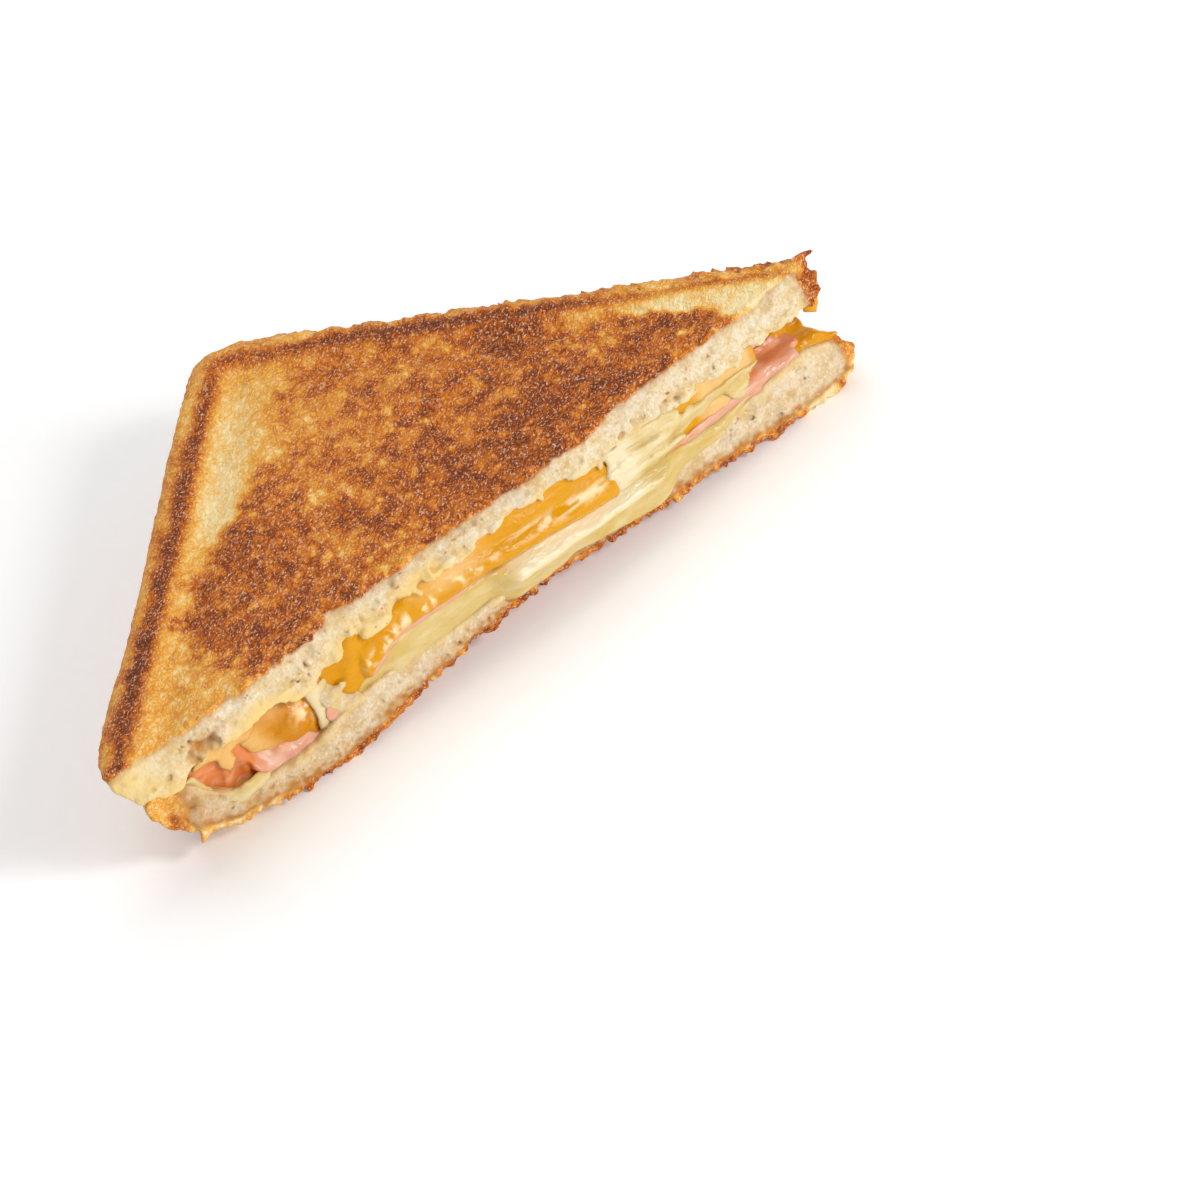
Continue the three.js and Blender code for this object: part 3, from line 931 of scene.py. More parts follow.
def orange_cheese(cell):
    """The orange cheese: a swollen band with a drip, a dome drawn back beside it, and a far right end."""

    def high(x, y):
        return mix(20.9, along(TOP_LOW, x) + 0.7 - 6 * step(x, 26, 29), hill(y, 0, 12))

    def dome(x, z):
        return 2.5 - 1.5 * hill(x, -41.5, 4.5) * hill(z, 14, 4.4)

    block = filling_block(layer_height(ORANGE_LOW, 14.2), high, orange_front, (-62, 72), cell, 0.7)
    block.patch(ORANGE_DOME, dome, 65, softness=1.1)
    block.patch(ORANGE_ROOF, even_front(1.5), 60, softness=1.0)
    block.patch(ORANGE_TEAR, even_front(1.3), 59, back=4.0)
    block.patch(ORANGE_DRIP, lambda x, z: 1.2 - 0.9 * hill(x - 0.3 * z, -34.4, 2.2), 66, softness=1.0)
    block.patch(ORANGE_END, lambda x, z: 0.9 + 5 * step(z, 12.5, 19), 67)
    block.patch(ORANGE_SMEAR, even_front(1.0), 68, back=4.0, softness=0.4)
    for outline in ORANGE_THREADS:
        block.patch(outline, even_front(0.3), 69, back=4.0, softness=0.4)
    make_uneven(block, 1.5, (0.2, (5, 3, 1.5)), (0.12, (1.8, 1.3, 0.8)), 61)
    return block


def orange_skin(x, z):
    """How far highlights are painted along the band's ridge: in upright streaks on the left and level ones on
    the right, with some on the dome."""
    seen = np.stack([x, 0 * x, z], axis=1)
    broken = 0.5 * lumps(seen, (0.5, 1, 0.7), 55)
    upright = lumps(seen, (0.9, 1, 1.8), 56) + broken + 0.35 * step(-x, 17, 20)
    upright = step(upright, -0.1, 0.5) * step(-x, -4, 1)
    level = step(lumps(seen, (3, 1, 0.7), 57) + broken, -0.35, 0.3) * step(x, 3, 7)
    band = hill(z - along(ORANGE_SHEEN, x), 0, 1.25) * (upright + level) * step(-x, -26, -24)
    return band * step(x, -28, -26.5) + hill(x, -39.8, 2.2) * hill(z, 15, 2.4) * upright


def orange_masks(points):
    """Deeper where it is drawn back, which is painted shade, and paler where it has soaked into the crumb and
    where it lies thin under the roof, with painted highlights along the band's ridge."""
    x, y, z = points.T
    seen_x, seen_z = as_seen(x, y, z)
    dome = step(-seen_x, 36.5, 38.5)
    roof = step(-seen_x + 0.6 * (14 - seen_z), 45, 49.5)
    soaked = hill(x, -7, 6) * step(z, 16.6, 19) + 0.6 * hill(seen_x, -45, 4) * step(seen_z, 15, 19)
    uneven = 0.25 * lumps(points, (4, 3, 2.5), 63)
    # Painted shade: deeper colour where the cheese is drawn back, at the dome and at both ends, with random
    # deeper patches
    deep = 0.7 * dome + 0.3 * step(-x, 27.5, 28.5) + 0.35 * step(x, 50, 58) + uneven
    thread = step(seen_x, 44, 48) * step(-seen_x, -59, -57)
    paler = 0.4 * soaked + 0.35 * roof + 0.45 * thread - 0.02
    # Painted highlights along the band's ridge
    milk_and_highlight = np.maximum(paler, 0.95 * orange_skin(seen_x, seen_z))
    return {"tint_and_shade": np.clip(deep - roof, 0, 1), "milk_and_highlight": np.clip(milk_and_highlight, 0, 1)}


def pale_ledge(x, y):
    """The flat top of the pale cheese, lower where it hangs out in front of the cut."""
    return layer_height(PALE_HIGH, 12)(x, y) + 0.75 * np.minimum(y, 0)


def pale_cheese(cell):
    """The lower pale cheese: it hangs out over the bottom slice as a thick lip with a flat top, and it lines
    the hollow on the left."""

    def front(x, z):
        lip = 3.0 * step(x, -2, 4) * step(-x, -40, -32) + 1.0 * step(x, 29, 36) * step(-x, -58, -48)
        leaning = lip * (1 - 0.35 * step(-z, -11.5, -8))
        return 0.3 - leaning + 0.6 * step(-x, 20, 26) + 3.6 * step(-x, 29, 32) + 1.5 * step(x, 56, 62)

    block = filling_block(layer_height(PALE_LOW, 7.6), pale_ledge, front, (-62, 62), cell, 0.8)
    block.patch(PALE_LEFT, lambda x, z: 0.8 - 1.4 * hill(x, -53, 4) * hill(z, 8.4, 2.6), 73)
    block.patch(PALE_STRIP, lambda x, z: 0.9 - 0.2 * hill(x, -37.2, 0.8), 78)
    make_uneven(block, 1.5, (0.2, (5, 3, 2)), (0.12, (2, 1.3, 0.9)), 71)
    return block


def pale_masks(points):
    """Cream on the folds; the lip's flat top whiter, partly a paler skin and partly painted light on its
    upward face; painted highlights on the folds' forward crests.
    """
    x, y, z = points.T
    above = z - along(PALE_HIGH, x) - 0.75 * np.minimum(y, 0)
    # Partly painted light: the lip's upward-facing flat top is whitened
    ledge = step(x, 1, 4) * step(-x, -34, -27) * step(above, -1.1, -0.4)
    # Painted highlights on the folds' crests that stand forward
    folds = step(x, 25, 28) * step(z, 12, 14) * (0.2 + 0.4 * step(-y, 0.4, 1.2))
    left = 0.3 * step(-x, 34, 38) + 0.5 * hill(x, -36.5, 2)
    return {
        "tint_and_shade": np.clip(0.5 + 0.6 * lumps(points, (5, 3, 2), 77), 0, 1),
        "milk_and_highlight": np.clip(ledge + folds + left + 0.3 * lumps(points, (3, 2, 1), 79), 0, 1),
    }


def pale_wedge(cell):
    """The upper pale cheese: soft folds beside the orange band that thin out to the right."""

    def high(x, y):
        return mix(17.5, along(TOP_LOW, x) + 0.6 - 1.2 * step(x, 50, 58), hill(y, 0, 14))

    def front(x, z):
        return 0.9 + 1.3 * step(x, 44, 54)

    def top_fold(x, z):
        crest = 1.2 * hill(z, 15.4 + 0.08 * (x - 33), 1.7) + 0.4 * hill(z, 18.8, 1.2)
        return 0.1 - crest + 0.35 * hill(z + 0.24 * (x - 33), 17.4, 0.5)

    block = filling_block(layer_height(WEDGE_LOW, 13.4, 14), high, front, (26.4, 61), cell, 0.8)
    block.patch(FOLD_TOP, top_fold, 91, softness=1.2)
    block.patch(FOLD_STREAK, lambda x, z: 0.3 - 0.7 * hill(z, 16.2 + 0.04 * (x - 48), 0.9), 92, softness=0.7)
    block.patch(FOLD_LOW, lambda x, z: -0.3 - 0.6 * hill(z, 12.9, 1.0), 93, softness=1.0)
    block.patch(FOLD_DROP, even_front(-0.2), 94, back=4.0)
    make_uneven(block, 1.5, (0.2, (6, 3, 1.4)), (0.14, (2.4, 1.5, 0.7)), 75)
    return block


def ham_slice(cell):
    """The ham: a sheet between the cheeses, broad at the right end, curled and folded on the left."""
    low = layer_height(HAM_LOW, 11.9)

    def front(x, z):
        return 0.2 + 1.2 * hill(x, 14, 14) + 3.4 * step(-x, 26, 29) + 1.5 * step(x, 34, 38)

    def curled_end(x, z):
        return 2.5 - 0.9 * hill(x - 0.25 * z, -59.8, 1.3) + 0.6 * hill(x, -54.6, 0.9)

    def sheet(x, z):
        return 1.1 + 2.2 * step(z, 8, 16) - 0.5 * hill(x + 0.35 * z, -47.4, 0.9)

    def broad_end(x, z):
        return 0.3 + 4.6 * step(z, 12.5, 19) - 0.3 * hill(z, 12.4, 0.6)

    block = filling_block(low, lambda x, y: low(x, y) + 1.6, front, (-62, 69), cell, 0.8)
    block.patch(HAM_RED, curled_end, 84)
    block.patch(HAM_SHEET, sheet, 85)
    block.patch(HAM_BIT, even_front(0.5), 86, back=4.0, softness=0.4)
    block.patch(HAM_END, broad_end, 87)
    make_uneven(block, 1.2, (0.14, (4, 3, 2)), (0.1, (1.6, 1.2, 0.8)), 81)
    return block


def ham_masks(points):
    """Redder and more orange where it is wet with cheese, with a painted highlight streak along the sheet's
    fold and random paler streaks.
    """
    seen_x, seen_z = as_seen(*points.T)
    red = step(-seen_x, 50.6, 52.4) + 0.8 * step(-seen_x, 38, 40) * step(seen_z, 10.5, 14.5)
    red = red + 0.7 * step(seen_x, 50, 56) * step(seen_z, 13, 15.5)
    # Painted highlight: a pale streak along the fold of the sheet in the left hollow
    pale = 0.6 * hill(seen_x + 0.35 * seen_z, -44.4, 1.2) * step(-seen_x, 40, 44)
    pale = pale + 0.6 * lumps(points, (2.5, 1.5, 0.8), 88)
    return {"tint_and_shade": np.clip(red + 0.25 * lumps(points, 2, 83), 0, 1), "milk_and_highlight": np.clip(pale, 0, 0.8)}


# Materials


def fill_inputs(tree, node, values):
    """Gives inputs of a node their values: a value is set, and a socket is linked."""
    for name, value in values.items():
        if isinstance(value, bpy.types.NodeSocket):
            tree.links.new(value, node.inputs[name])
        else:
            node.inputs[name].default_value = value


def add_node(tree, kind, links=None, stops=None, **settings):
    """Adds one node with its settings, colour stops and inputs, which are values or sockets to link."""
    node = tree.nodes.new(kind)
    for name, value in settings.items():
        setattr(node, name, value)
    for place, colour in stops or ():
        stop = node.color_ramp.elements.new(place)
        stop.color = colour
    if stops:
        elements = node.color_ramp.elements
        elements.remove(elements[0])
        elements.remove(elements[-1])
    fill_inputs(tree, node, links or {})
    return node


def new_material(name):
    """An empty node material and its shader."""
    material = bpy.data.materials.new(name)
    material.use_nodes = True
    tree = material.node_tree
    tree.nodes.clear()
    shader = add_node(tree, "ShaderNodeBsdfPrincipled")
    add_node(tree, "ShaderNodeOutputMaterial", {"Surface": shader.outputs["BSDF"]})
    return material, tree, shader


def grained(tree, size, turn=0.0):
    """Object coordinates counted in grains of a real size in millimetres, turned about the vertical."""
    place = add_node(tree, "ShaderNodeTexCoord").outputs["Object"]
    links = {"Vector": place, "Rotation": (0, 0, math.radians(turn)), "Scale": [value * MM for value in size]}
    return add_node(tree, "ShaderNodeMapping", links, vector_type="TEXTURE").outputs["Vector"]


def bread_noises(tree):
    """The noises of the bread's surface by name, each from its size in millimetres, turn, detail, roughness
    and distortion."""
    sizes = bpy.context.scene.toastie_sizes
    length, width = sizes.grain_length / MM, sizes.grain_width / MM
    table = {
        "streaks": ((length, width, width), TOAST_TURN, 1.5, 0.5, 0.5),
        "mottle": ((2.2, 1.5, 1.5), TOAST_TURN, 3.0, 0.6, 0.0),
        "glints": ((0.55, 0.35, 0.35), TOAST_TURN, 1.0, 0.5, 0.0),
        "pores": ((0.5, 0.5, 0.65), 0.0, 4.0, 0.65, 0.0),
        "clouds": ((3.6, 3.0, 2.4), 0.0, 4.0, 0.62, 0.0),
    }
    noises = {}
    for name, (size, turn, detail, roughness, distortion) in table.items():
        links = {"Vector": grained(tree, size, turn), "Scale": 1.0, "Detail": detail, "Roughness": roughness}
        links["Distortion"] = distortion
        noises[name] = add_node(tree, "ShaderNodeTexNoise", links).outputs["Fac"]
    return noises


def bread_values(tree):
    """The sockets of all that varies over the bread, by name: masks, noises and what follows from them."""
    values = bread_noises(tree)
    for mask in ("toast", "crumb", "soak", "browned"):
        values[mask] = add_node(tree, "ShaderNodeAttribute", attribute_name=mask).outputs["Fac"]
    offset = add_node(tree, "ShaderNodeMath", {0: values["streaks"], 1: 0.5}, operation="SUBTRACT").outputs[0]
    values["off_middle"] = add_node(tree, "ShaderNodeMath", {0: offset}, operation="ABSOLUTE").outputs[0]
    for name, (source, start, end, low, high) in BREAD_RANGES.items():
        links = {"Value": values[source], "From Min": start, "From Max": end, "To Min": low, "To Max": high}
        values[name] = add_node(tree, "ShaderNodeMapRange", links).outputs["Result"]
    return values


def toasted_skin(tree, values, colours):
    """The toasted face's colour: dark grains on a ground, both by toast level, and painted glints, which are
    small highlights laid into the colour.
    """
    ground_stops = [
        (0.0, colours.toast_palest), (0.14, colours.toast_pale), (0.3, colours.toast_gold),
        (0.45, colours.toast_orange), (0.62, colours.toast_amber), (0.9, colours.toast_brown),
    ]
    grain_stops = [
        (0.25, colours.grain_light), (0.5, colours.grain_brown), (0.68, colours.grain_dark),
        (0.95, colours.grain_burnt),
    ]
    grain = values["grain"]
    links = {0: values["toast"], 1: values["uneven"]}
    level = add_node(tree, "ShaderNodeMath", links, operation="ADD").outputs[0]
    links = {0: grain, 1: 0.16, 2: level}
    textured = add_node(tree, "ShaderNodeMath", links, operation="MULTIPLY_ADD").outputs[0]
    links = {0: level, 1: 0.9, 2: grain}
    reach = add_node(tree, "ShaderNodeMath", links, operation="MULTIPLY_ADD").outputs[0]
    covered = add_node(tree, "ShaderNodeMapRange", {"Value": reach, "From Min": 1.06, "From Max": 1.2})
    colour = add_node(tree, "ShaderNodeValToRGB", {"Fac": textured}, ground_stops).outputs["Color"]
    grains = add_node(tree, "ShaderNodeValToRGB", {"Fac": level}, grain_stops).outputs["Color"]
    layers = ((covered.outputs["Result"], grains), (values["painted_glint_share"], colours.toast_glint))
    for share, over in layers:
        colour = add_node(tree, "ShaderNodeMix", {0: share, 6: colour, 7: over}, data_type="RGBA").outputs[2]
    return colour


def open_crumb(tree, values, colours):
    """The crumb's colour: clouds, painted shade in its pores, torn bits whitened partly with painted
    highlights, then what it has soaked up, its browning next to the skin and the painted shade of its
    hollows.
    """
    layers = (
        (values["cloudy"], colours.crumb_deep), (values["pore_shade"], colours.crumb_pore),
        (values["torn"], colours.crumb_torn), (values["soak"], colours.crumb_soaked),
        (values["browned"], colours.crumb_browned),
    )
    colour = colours.crumb
    for share, over in layers:
        colour = add_node(tree, "ShaderNodeMix", {0: share, 6: colour, 7: over}, data_type="RGBA").outputs[2]
    return colour


def griddled_white_bread():
    """White bread browned on a buttered griddle: fine dark brown grains on gold to orange, with small painted
    glints, which are painted highlights, over a soft matt crumb with painted shade in its pores and hollows,
    whitened partly with painted highlights on its raised torn bits, and turning tan where it is toasted."""
    colours = bpy.context.scene.toastie_colours
    material, tree, shader = new_material("griddled_white_bread")
    values = bread_values(tree)
    crumb = values["crumb"]
    links = {0: crumb, 6: toasted_skin(tree, values, colours), 7: open_crumb(tree, values, colours)}
    colour = add_node(tree, "ShaderNodeMix", links, data_type="RGBA").outputs[2]
    links = {0: crumb, 2: values["grain"], 3: values["pores"]}
    height = add_node(tree, "ShaderNodeMix", links, data_type="FLOAT").outputs[0]
    links = {"Height": height, "Strength": values["relief"], "Distance": 0.33 * MM}
    bump = add_node(tree, "ShaderNodeBump", links)
    fill_inputs(tree, shader, {
        "Base Color": colour, "Roughness": values["roughness"], "Normal": bump.outputs[0],
        "Subsurface Weight": values["softness"], "Subsurface Radius": (1.0, 0.6, 0.3),
        "Subsurface Scale": 0.9 * MM, "IOR": FOOD_IOR, "Specular IOR Level": 0.16,
    })
    return material


def melted_material(name, colours, roughness, gloss, mottle, relief, scatter):
    """A smooth melted or moist surface: three colours mixed by two masks, a deeper colour that holds painted
    shade in places and a paler one that holds painted highlights in places, with a soft relief, and light
    that sinks in."""
    material, tree, shader = new_material(name)
    colour, second, third = colours
    tint_and_shade, milk_and_highlight = (
        add_node(tree, "ShaderNodeAttribute", attribute_name=mask).outputs["Fac"] for mask in ("tint_and_shade", "milk_and_highlight")
    )
    links = {"Vector": grained(tree, mottle), "Scale": 1.0, "Detail": 3.0, "Roughness": 0.55}
    noise = add_node(tree, "ShaderNodeTexNoise", links).outputs["Fac"]
    links = {"Value": noise, "From Min": 0.3, "From Max": 0.7, "To Min": -0.2, "To Max": 0.2}
    uneven = add_node(tree, "ShaderNodeMapRange", links).outputs["Result"]
    links = {0: tint_and_shade, 1: uneven}
    tinted = add_node(tree, "ShaderNodeMath", links, operation="ADD", use_clamp=True).outputs[0]
    for share, over in ((tinted, second), (milk_and_highlight, third)):
        colour = add_node(tree, "ShaderNodeMix", {0: share, 6: colour, 7: over}, data_type="RGBA").outputs[2]
    bump = add_node(tree, "ShaderNodeBump", {"Height": noise, "Strength": 0.7, "Distance": relief * MM})
    fill_inputs(tree, shader, {
        "Base Color": colour, "Roughness": roughness, "Normal": bump.outputs[0],
        "Subsurface Weight": 0.3, "Subsurface Radius": scatter,
        "Subsurface Scale": 1.2 * MM, "IOR": FOOD_IOR, "Specular IOR Level": gloss,
    })
    return material


def melted_orange_cheese():
    """Young orange cheese, melted and cooled: deep yellow-orange with a wet gloss, painted highlights in
    broken streaks along its ridge, and painted shade where it is drawn back.
    """
    colours = bpy.context.scene.toastie_colours
    shades = (colours.orange, colours.orange_deep, colours.orange_soaked)
    mottle, scatter = (2.0, 1.6, 1.0), (1.0, 0.5, 0.05)
    return melted_material("melted_orange_cheese", shades, 0.12, 0.24, mottle, 0.55, scatter)


def melted_pale_cheese():
    """Mild pale cheese, melted and cooled: cream yellow, slightly see-through, softly glossy on its folds,
    with painted light on its flat top and its crests.
    """
    colours = bpy.context.scene.toastie_colours
    shades = (colours.pale, colours.pale_cream, colours.pale_white)
    return melted_material("melted_pale_cheese", shades, 0.2, 0.36, (2.6, 1.8, 1.0), 0.5, (1.0, 0.8, 0.4))


def cured_ham():
    """Cooked cured ham, sliced thin: moist pink meat with a satin gloss and a painted highlight streak,
    redder where it is thick.
    """
    colours = bpy.context.scene.toastie_colours
    shades = (colours.ham, colours.ham_red, colours.ham_pale)
    return melted_material("cured_ham", shades, 0.2, 0.5, (2.5, 2, 0.9), 0.4, (1.0, 0.45, 0.3))


def matt_white_card():
    """White card on a light table, matt and even: the bare pale surface that it lies on, hardly shaded."""
    material, tree, shader = new_material("matt_white_card")
    colour = bpy.context.scene.toastie_colours.floor
    links = {"Vector": grained(tree, (2.0, 2.0, 2.0)), "Scale": 1.0, "Detail": 2.0}
    noise = add_node(tree, "ShaderNodeTexNoise", links).outputs["Fac"]
    stops = [(0.0, [value * 0.985 for value in colour[:3]] + [1.0]), (1.0, colour)]
    shade = add_node(tree, "ShaderNodeValToRGB", {"Fac": noise}, stops).outputs["Color"]
    glow = {"Emission Color": (1, 1, 1, 1), "Emission Strength": 0.12}
    fill_inputs(tree, shader, {"Base Color": shade, "Roughness": 0.9, **glow})
    return material


def shared(make):
    """The material that make gives, made once."""
    return bpy.data.materials.get(make.__name__) or make()


# What a user would change


class ToastieSizes(bpy.types.PropertyGroup):
    """Sizes of the toastie's surface."""

    cell: bpy.props.FloatProperty(
        name="Mesh cell", description="Distance between the mesh points along the cut",
        default=0.35 * MM, min=0.25 * MM, max=1.5 * MM, precision=5, unit="LENGTH",
    )
    grain_length: bpy.props.FloatProperty(
        name="Toast grain length", description="Length of the browned grains of the toasted faces",
        default=1.15 * MM, min=0.3 * MM, max=5 * MM, precision=5, unit="LENGTH",
    )
    grain_width: bpy.props.FloatProperty(
        name="Toast grain width", description="Width of the browned grains of the toasted faces",
        default=0.75 * MM, min=0.2 * MM, max=5 * MM, precision=5, unit="LENGTH",
    )


def colour_property(name, description, code):
    """A colour setting whose default is an sRGB hex code."""
    return bpy.props.FloatVectorProperty(
        name=name, description=description, subtype="COLOR", size=4, min=0, max=1, default=linear(code)
    )


class ToastieColours(bpy.types.PropertyGroup):
    """Colours of the toastie."""

    toast_palest: colour_property("Palest toast", "Where the bread barely touched the griddle", "#F7E1AA")
    toast_pale: colour_property("Pale toast", "The pale band inside the rim", "#F3D18A")
    toast_gold: colour_property("Golden toast", "The plain toasted ends", "#EEAF48")
    toast_orange: colour_property("Orange toast", "The ground of the lightly browned parts", "#E09230")
    toast_amber: colour_property("Amber toast", "The ground of the dark parts", "#CC6E16")
    toast_brown: colour_property("Brown toast", "The ground of the rim", "#A2521A")
    grain_light: colour_property("Light grain", "Grains of the golden parts", "#E39B38")
    grain_brown: colour_property("Brown grain", "Grains of the orange parts", "#BC6522")
    grain_dark: colour_property("Dark grain", "Grains of the dark parts", "#8C4016")
    grain_burnt: colour_property("Burnt grain", "Grains of the rim", "#6A2E14")
    # Painted highlight: the colour of the small glints painted between the grains
    toast_glint: colour_property("Toast glint", "Small buttery glints between the grains", "#F3CDAC")
    crumb: colour_property("Crumb", "The soft white crumb", "#E8DABE")
    crumb_deep: colour_property("Crumb, deep", "Its slightly darker clouds", "#D9BC86")
    # Partly whitish torn crumb, partly a painted highlight on the raised bits
    crumb_torn: colour_property("Crumb, torn", "The whitish torn bits that stand out of it", "#FBF4E4")
    # Painted shade: the colour laid into the low pores of the crumb
    crumb_pore: colour_property("Crumb pore", "The shaded pores of the crumb", "#CFA05C")
    crumb_soaked: colour_property("Soaked crumb", "Crumb that has soaked up cheese", "#EFD08A")
    # Also the colour of the painted shade in the crumb's sunk hollows
    crumb_browned: colour_property("Browned crumb", "Crumb next to the toasted skin", "#BB8140")
    pale: colour_property("Pale cheese", "The body of the pale cheese", "#D3B15A")
    pale_cream: colour_property("Pale cheese, cream", "Its lighter folds", "#DDC588")
    # Partly a paler skin, partly painted light on the flat top and painted highlights on the crests
    pale_white: colour_property("Pale cheese, whitish", "Its dried flat top and crests", "#EDDDB6")
    orange: colour_property("Orange cheese", "The body of the orange cheese", "#DE9C00")
    # Painted shade where the cheese is drawn back, and random deeper patches
    orange_deep: colour_property("Orange cheese, deep", "Where it is browned or drawn back", "#D48A14")
    # Also the colour of the painted highlights along the orange band
    orange_soaked: colour_property("Orange cheese, soaked", "Where it has soaked into the crumb", "#FDE4B4")
    ham: colour_property("Ham", "The pink of the ham", "#E4A68A")
    ham_red: colour_property("Ham, red", "Where it is thick and moist", "#E08440")
    # Random paler streaks, and the painted highlight streak on the sheet's fold
    ham_pale: colour_property("Ham, pale", "Its lighter streaks", "#EFC6AC")
    floor: colour_property("Floor", "The pale surface below", "#FAFAFA")


class ToastieStage(bpy.types.PropertyGroup):
    """Camera and light."""

    lens: bpy.props.FloatProperty(
        name="Lens", description="Focal length on a 36 mm sensor, in millimetres",
        default=174.8, min=20, max=400,
    )
    distance: bpy.props.FloatProperty(
        name="Distance", description="From the camera to the point that it looks at",
        default=0.9357, unit="LENGTH",
    )
    azimuth: bpy.props.FloatProperty(
        name="Azimuth", description="How far the view is turned to the right from straight back",
        default=VIEW_AZIMUTH, subtype="ANGLE",
    )
    elevation: bpy.props.FloatProperty(
        name="Elevation", description="How far the camera looks down",
        default=VIEW_ELEVATION, subtype="ANGLE",
    )
    roll: bpy.props.FloatProperty(
        name="Roll", description="How far the camera is rolled",
        default=math.radians(20.265), subtype="ANGLE",
    )
    key: bpy.props.FloatProperty(
        name="Overhead light", description="Power of the large soft light above and behind",
        default=6.0, subtype="POWER",
    )
    fill: bpy.props.FloatProperty(
        name="Front light", description="Power of the soft light on the cut",
        default=4, subtype="POWER",
    )
    low_fill: bpy.props.FloatProperty(
        name="Low light", description="Power of the low soft light that reaches into the cut",
        default=2.6, subtype="POWER",
    )
    surround: bpy.props.FloatProperty(
        name="Surround", description="Strength of the even white light all round",
        default=0.36, min=0,
    )


# Operators


class TOASTIE_OT_slices(bpy.types.Operator):
    """Build the two toasted slices of bread"""

    bl_idname = "toastie.slices"
    bl_label = "Bread slices"

    def execute(self, context):
        cell = context.scene.toastie_sizes.cell / MM
        bread = shared(griddled_white_bread)
        shape = (top_crumb, top_face, TOP_ENDS, TOP_EDGE)
        masks = bread_masks(*shape, top_thick, top_level, top_soak, top_stain, 51)
        block = top_slice(cell)
        finish_piece("top_slice_toasted", block, masks, bread, "top_slice")
        shape = (bottom_face, bottom_crumb, BOTTOM_ENDS, STRAIGHT_EDGE)
        masks = bread_masks(*shape, bottom_thick, bottom_level, bottom_soak, bottom_stain, 53)
        block = bottom_slice(cell)
        finish_piece("bottom_slice_toasted", block, masks, bread, "bottom_slice")
        return {"FINISHED"}


class TOASTIE_OT_cheeses(bpy.types.Operator):
    """Build the melted cheeses"""

    bl_idname = "toastie.cheeses"
    bl_label = "Melted cheeses"

    def execute(self, context):
        cell = context.scene.toastie_sizes.cell / MM
        orange, pale = shared(melted_orange_cheese), shared(melted_pale_cheese)
        block = orange_cheese(cell)
        finish_piece("orange_cheese_melted", block, orange_masks, orange, "orange_cheese")
        block = pale_cheese(cell)
        finish_piece("pale_cheese_melted", block, pale_masks, pale, "pale_cheese")
        block = pale_wedge(cell)
        finish_piece("pale_cheese_folds", block, pale_masks, pale, "pale_cheese_wedge")
        return {"FINISHED"}


class TOASTIE_OT_ham(bpy.types.Operator):
    """Build the slice of ham"""

    bl_idname = "toastie.ham"
    bl_label = "Ham"

    def execute(self, context):
        cell = context.scene.toastie_sizes.cell / MM
        finish_piece("ham_slice_moist", ham_slice(cell), ham_masks, shared(cured_ham), "ham_slice")
        return {"FINISHED"}


def camera_matrix(stage):
    """Where the camera stands and how it is turned: it looks at the target, rolled about its own view."""
    forward = Vector((math.sin(stage.azimuth), math.cos(stage.azimuth), -math.tan(stage.elevation)))
    forward = forward.normalized()
    level_right = forward.cross(Vector((0, 0, 1))).normalized()
    level_up = level_right.cross(forward)
    up = level_up * math.cos(stage.roll) + level_right * math.sin(stage.roll)
    right = forward.cross(up)
    target = (TARGET + Vector((SHIFT_X, SHIFT_Y, 0))) * MM
    place = target - forward * stage.distance
    turned = Matrix((right, up, -forward)).transposed().to_4x4()
    return Matrix.Translation(place) @ turned


def add_softbox(name, place, aim, size, power):
    """A large square light that faces a point."""
    light = bpy.data.lights.new(name, "AREA")
    light.size = size
    light.energy = power
    softbox = bpy.data.objects.new(name, light)
    bpy.context.scene.collection.objects.link(softbox)
    softbox.location = place
    softbox.rotation_euler = (Vector(aim) - Vector(place)).to_track_quat("-Z", "Y").to_euler()


def add_floor():
    """The pale surface that the toastie lies on."""
    corners = [(x * FLOOR_HALF, y * FLOOR_HALF, 0) for x, y in ((-1, -1), (1, -1), (1, 1), (-1, 1))]
    mesh = bpy.data.meshes.new("floor")
    mesh.from_pydata(corners, [], [(0, 1, 2, 3)])
    mesh.materials.append(shared(matt_white_card))
    floor = bpy.data.objects.new("floor", mesh)
    bpy.context.scene.collection.objects.link(floor)


def add_surround(strength):
    """The even white light all round."""
    world = bpy.data.worlds.new("white_surround")
    world.use_nodes = True
    background = world.node_tree.nodes["Background"]
    background.inputs["Color"].default_value = (1, 1, 1, 1)
    background.inputs["Strength"].default_value = strength
    bpy.context.scene.world = world


def add_camera(stage):
    """The camera of the photo's view."""
    data = bpy.data.cameras.new("camera")
    data.lens = stage.lens
    data.sensor_width = 36
    data.clip_start = 0.01
    camera = bpy.data.objects.new("camera", data)
    camera.matrix_world = camera_matrix(stage)
    bpy.context.scene.collection.objects.link(camera)
    bpy.context.scene.camera = camera


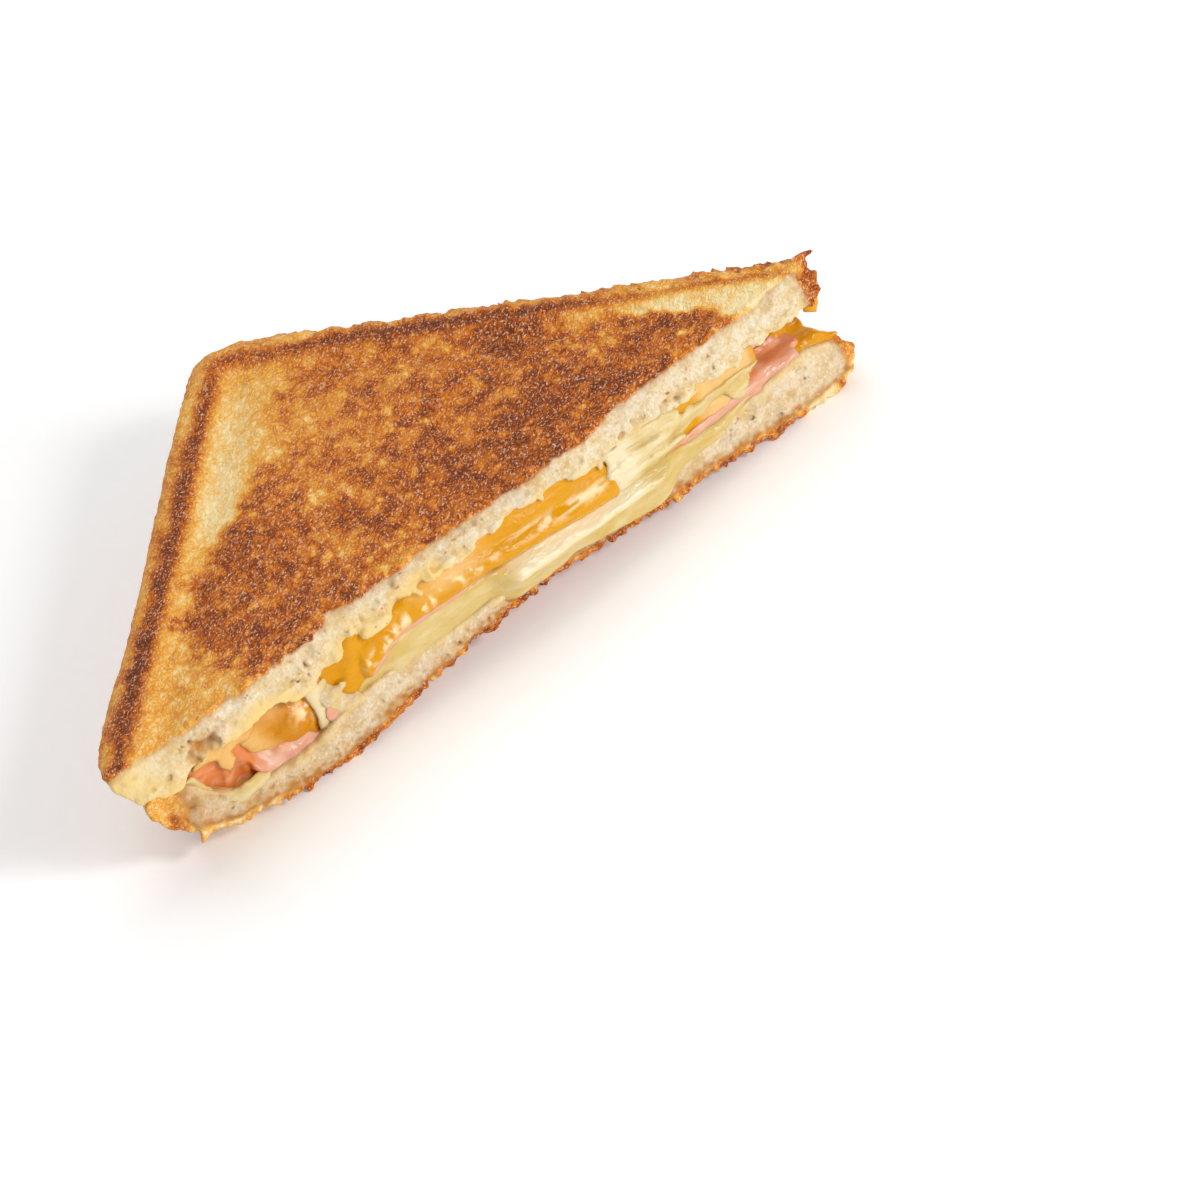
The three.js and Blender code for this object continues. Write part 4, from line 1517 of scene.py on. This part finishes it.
class TOASTIE_OT_stage(bpy.types.Operator):
    """Lay out the pale floor, the soft light and the camera"""

    bl_idname = "toastie.stage"
    bl_label = "Stage"

    def execute(self, context):
        stage = context.scene.toastie_stage
        add_floor()
        add_surround(stage.surround)
        for softbox, power in zip(SOFTBOXES, (stage.key, stage.fill, stage.low_fill)):
            add_softbox(*softbox, power)
        add_camera(stage)
        context.scene.view_settings.view_transform = "Standard"
        return {"FINISHED"}


class TOASTIE_PT_panel(bpy.types.Panel):
    """Toastie pieces and their settings"""

    bl_idname = "TOASTIE_PT_panel"
    bl_label = "Toastie"
    bl_space_type = "VIEW_3D"
    bl_region_type = "UI"
    bl_category = "Toastie"

    def draw(self, context):
        for operator in (TOASTIE_OT_slices, TOASTIE_OT_cheeses, TOASTIE_OT_ham, TOASTIE_OT_stage):
            self.layout.operator(operator.bl_idname)
        scene = context.scene
        for group in (scene.toastie_sizes, scene.toastie_colours, scene.toastie_stage):
            box = self.layout.box()
            for name in group.__annotations__:
                box.prop(group, name)


CLASSES = (
    ToastieSizes, ToastieColours, ToastieStage,
    TOASTIE_OT_slices, TOASTIE_OT_cheeses, TOASTIE_OT_ham, TOASTIE_OT_stage, TOASTIE_PT_panel,
)


def register():
    """Adds the classes and their settings."""
    for each in CLASSES:
        bpy.utils.register_class(each)
    bpy.types.Scene.toastie_sizes = bpy.props.PointerProperty(type=ToastieSizes)
    bpy.types.Scene.toastie_colours = bpy.props.PointerProperty(type=ToastieColours)
    bpy.types.Scene.toastie_stage = bpy.props.PointerProperty(type=ToastieStage)


def unregister():
    """Takes the classes and their settings out again."""
    del bpy.types.Scene.toastie_stage
    del bpy.types.Scene.toastie_colours
    del bpy.types.Scene.toastie_sizes
    for each in reversed(CLASSES):
        bpy.utils.unregister_class(each)


def main():
    """Builds the stage and the toastie."""
    register()
    bpy.ops.toastie.stage()
    bpy.ops.toastie.slices()
    bpy.ops.toastie.cheeses()
    bpy.ops.toastie.ham()


if __name__ == "__main__":
    main()
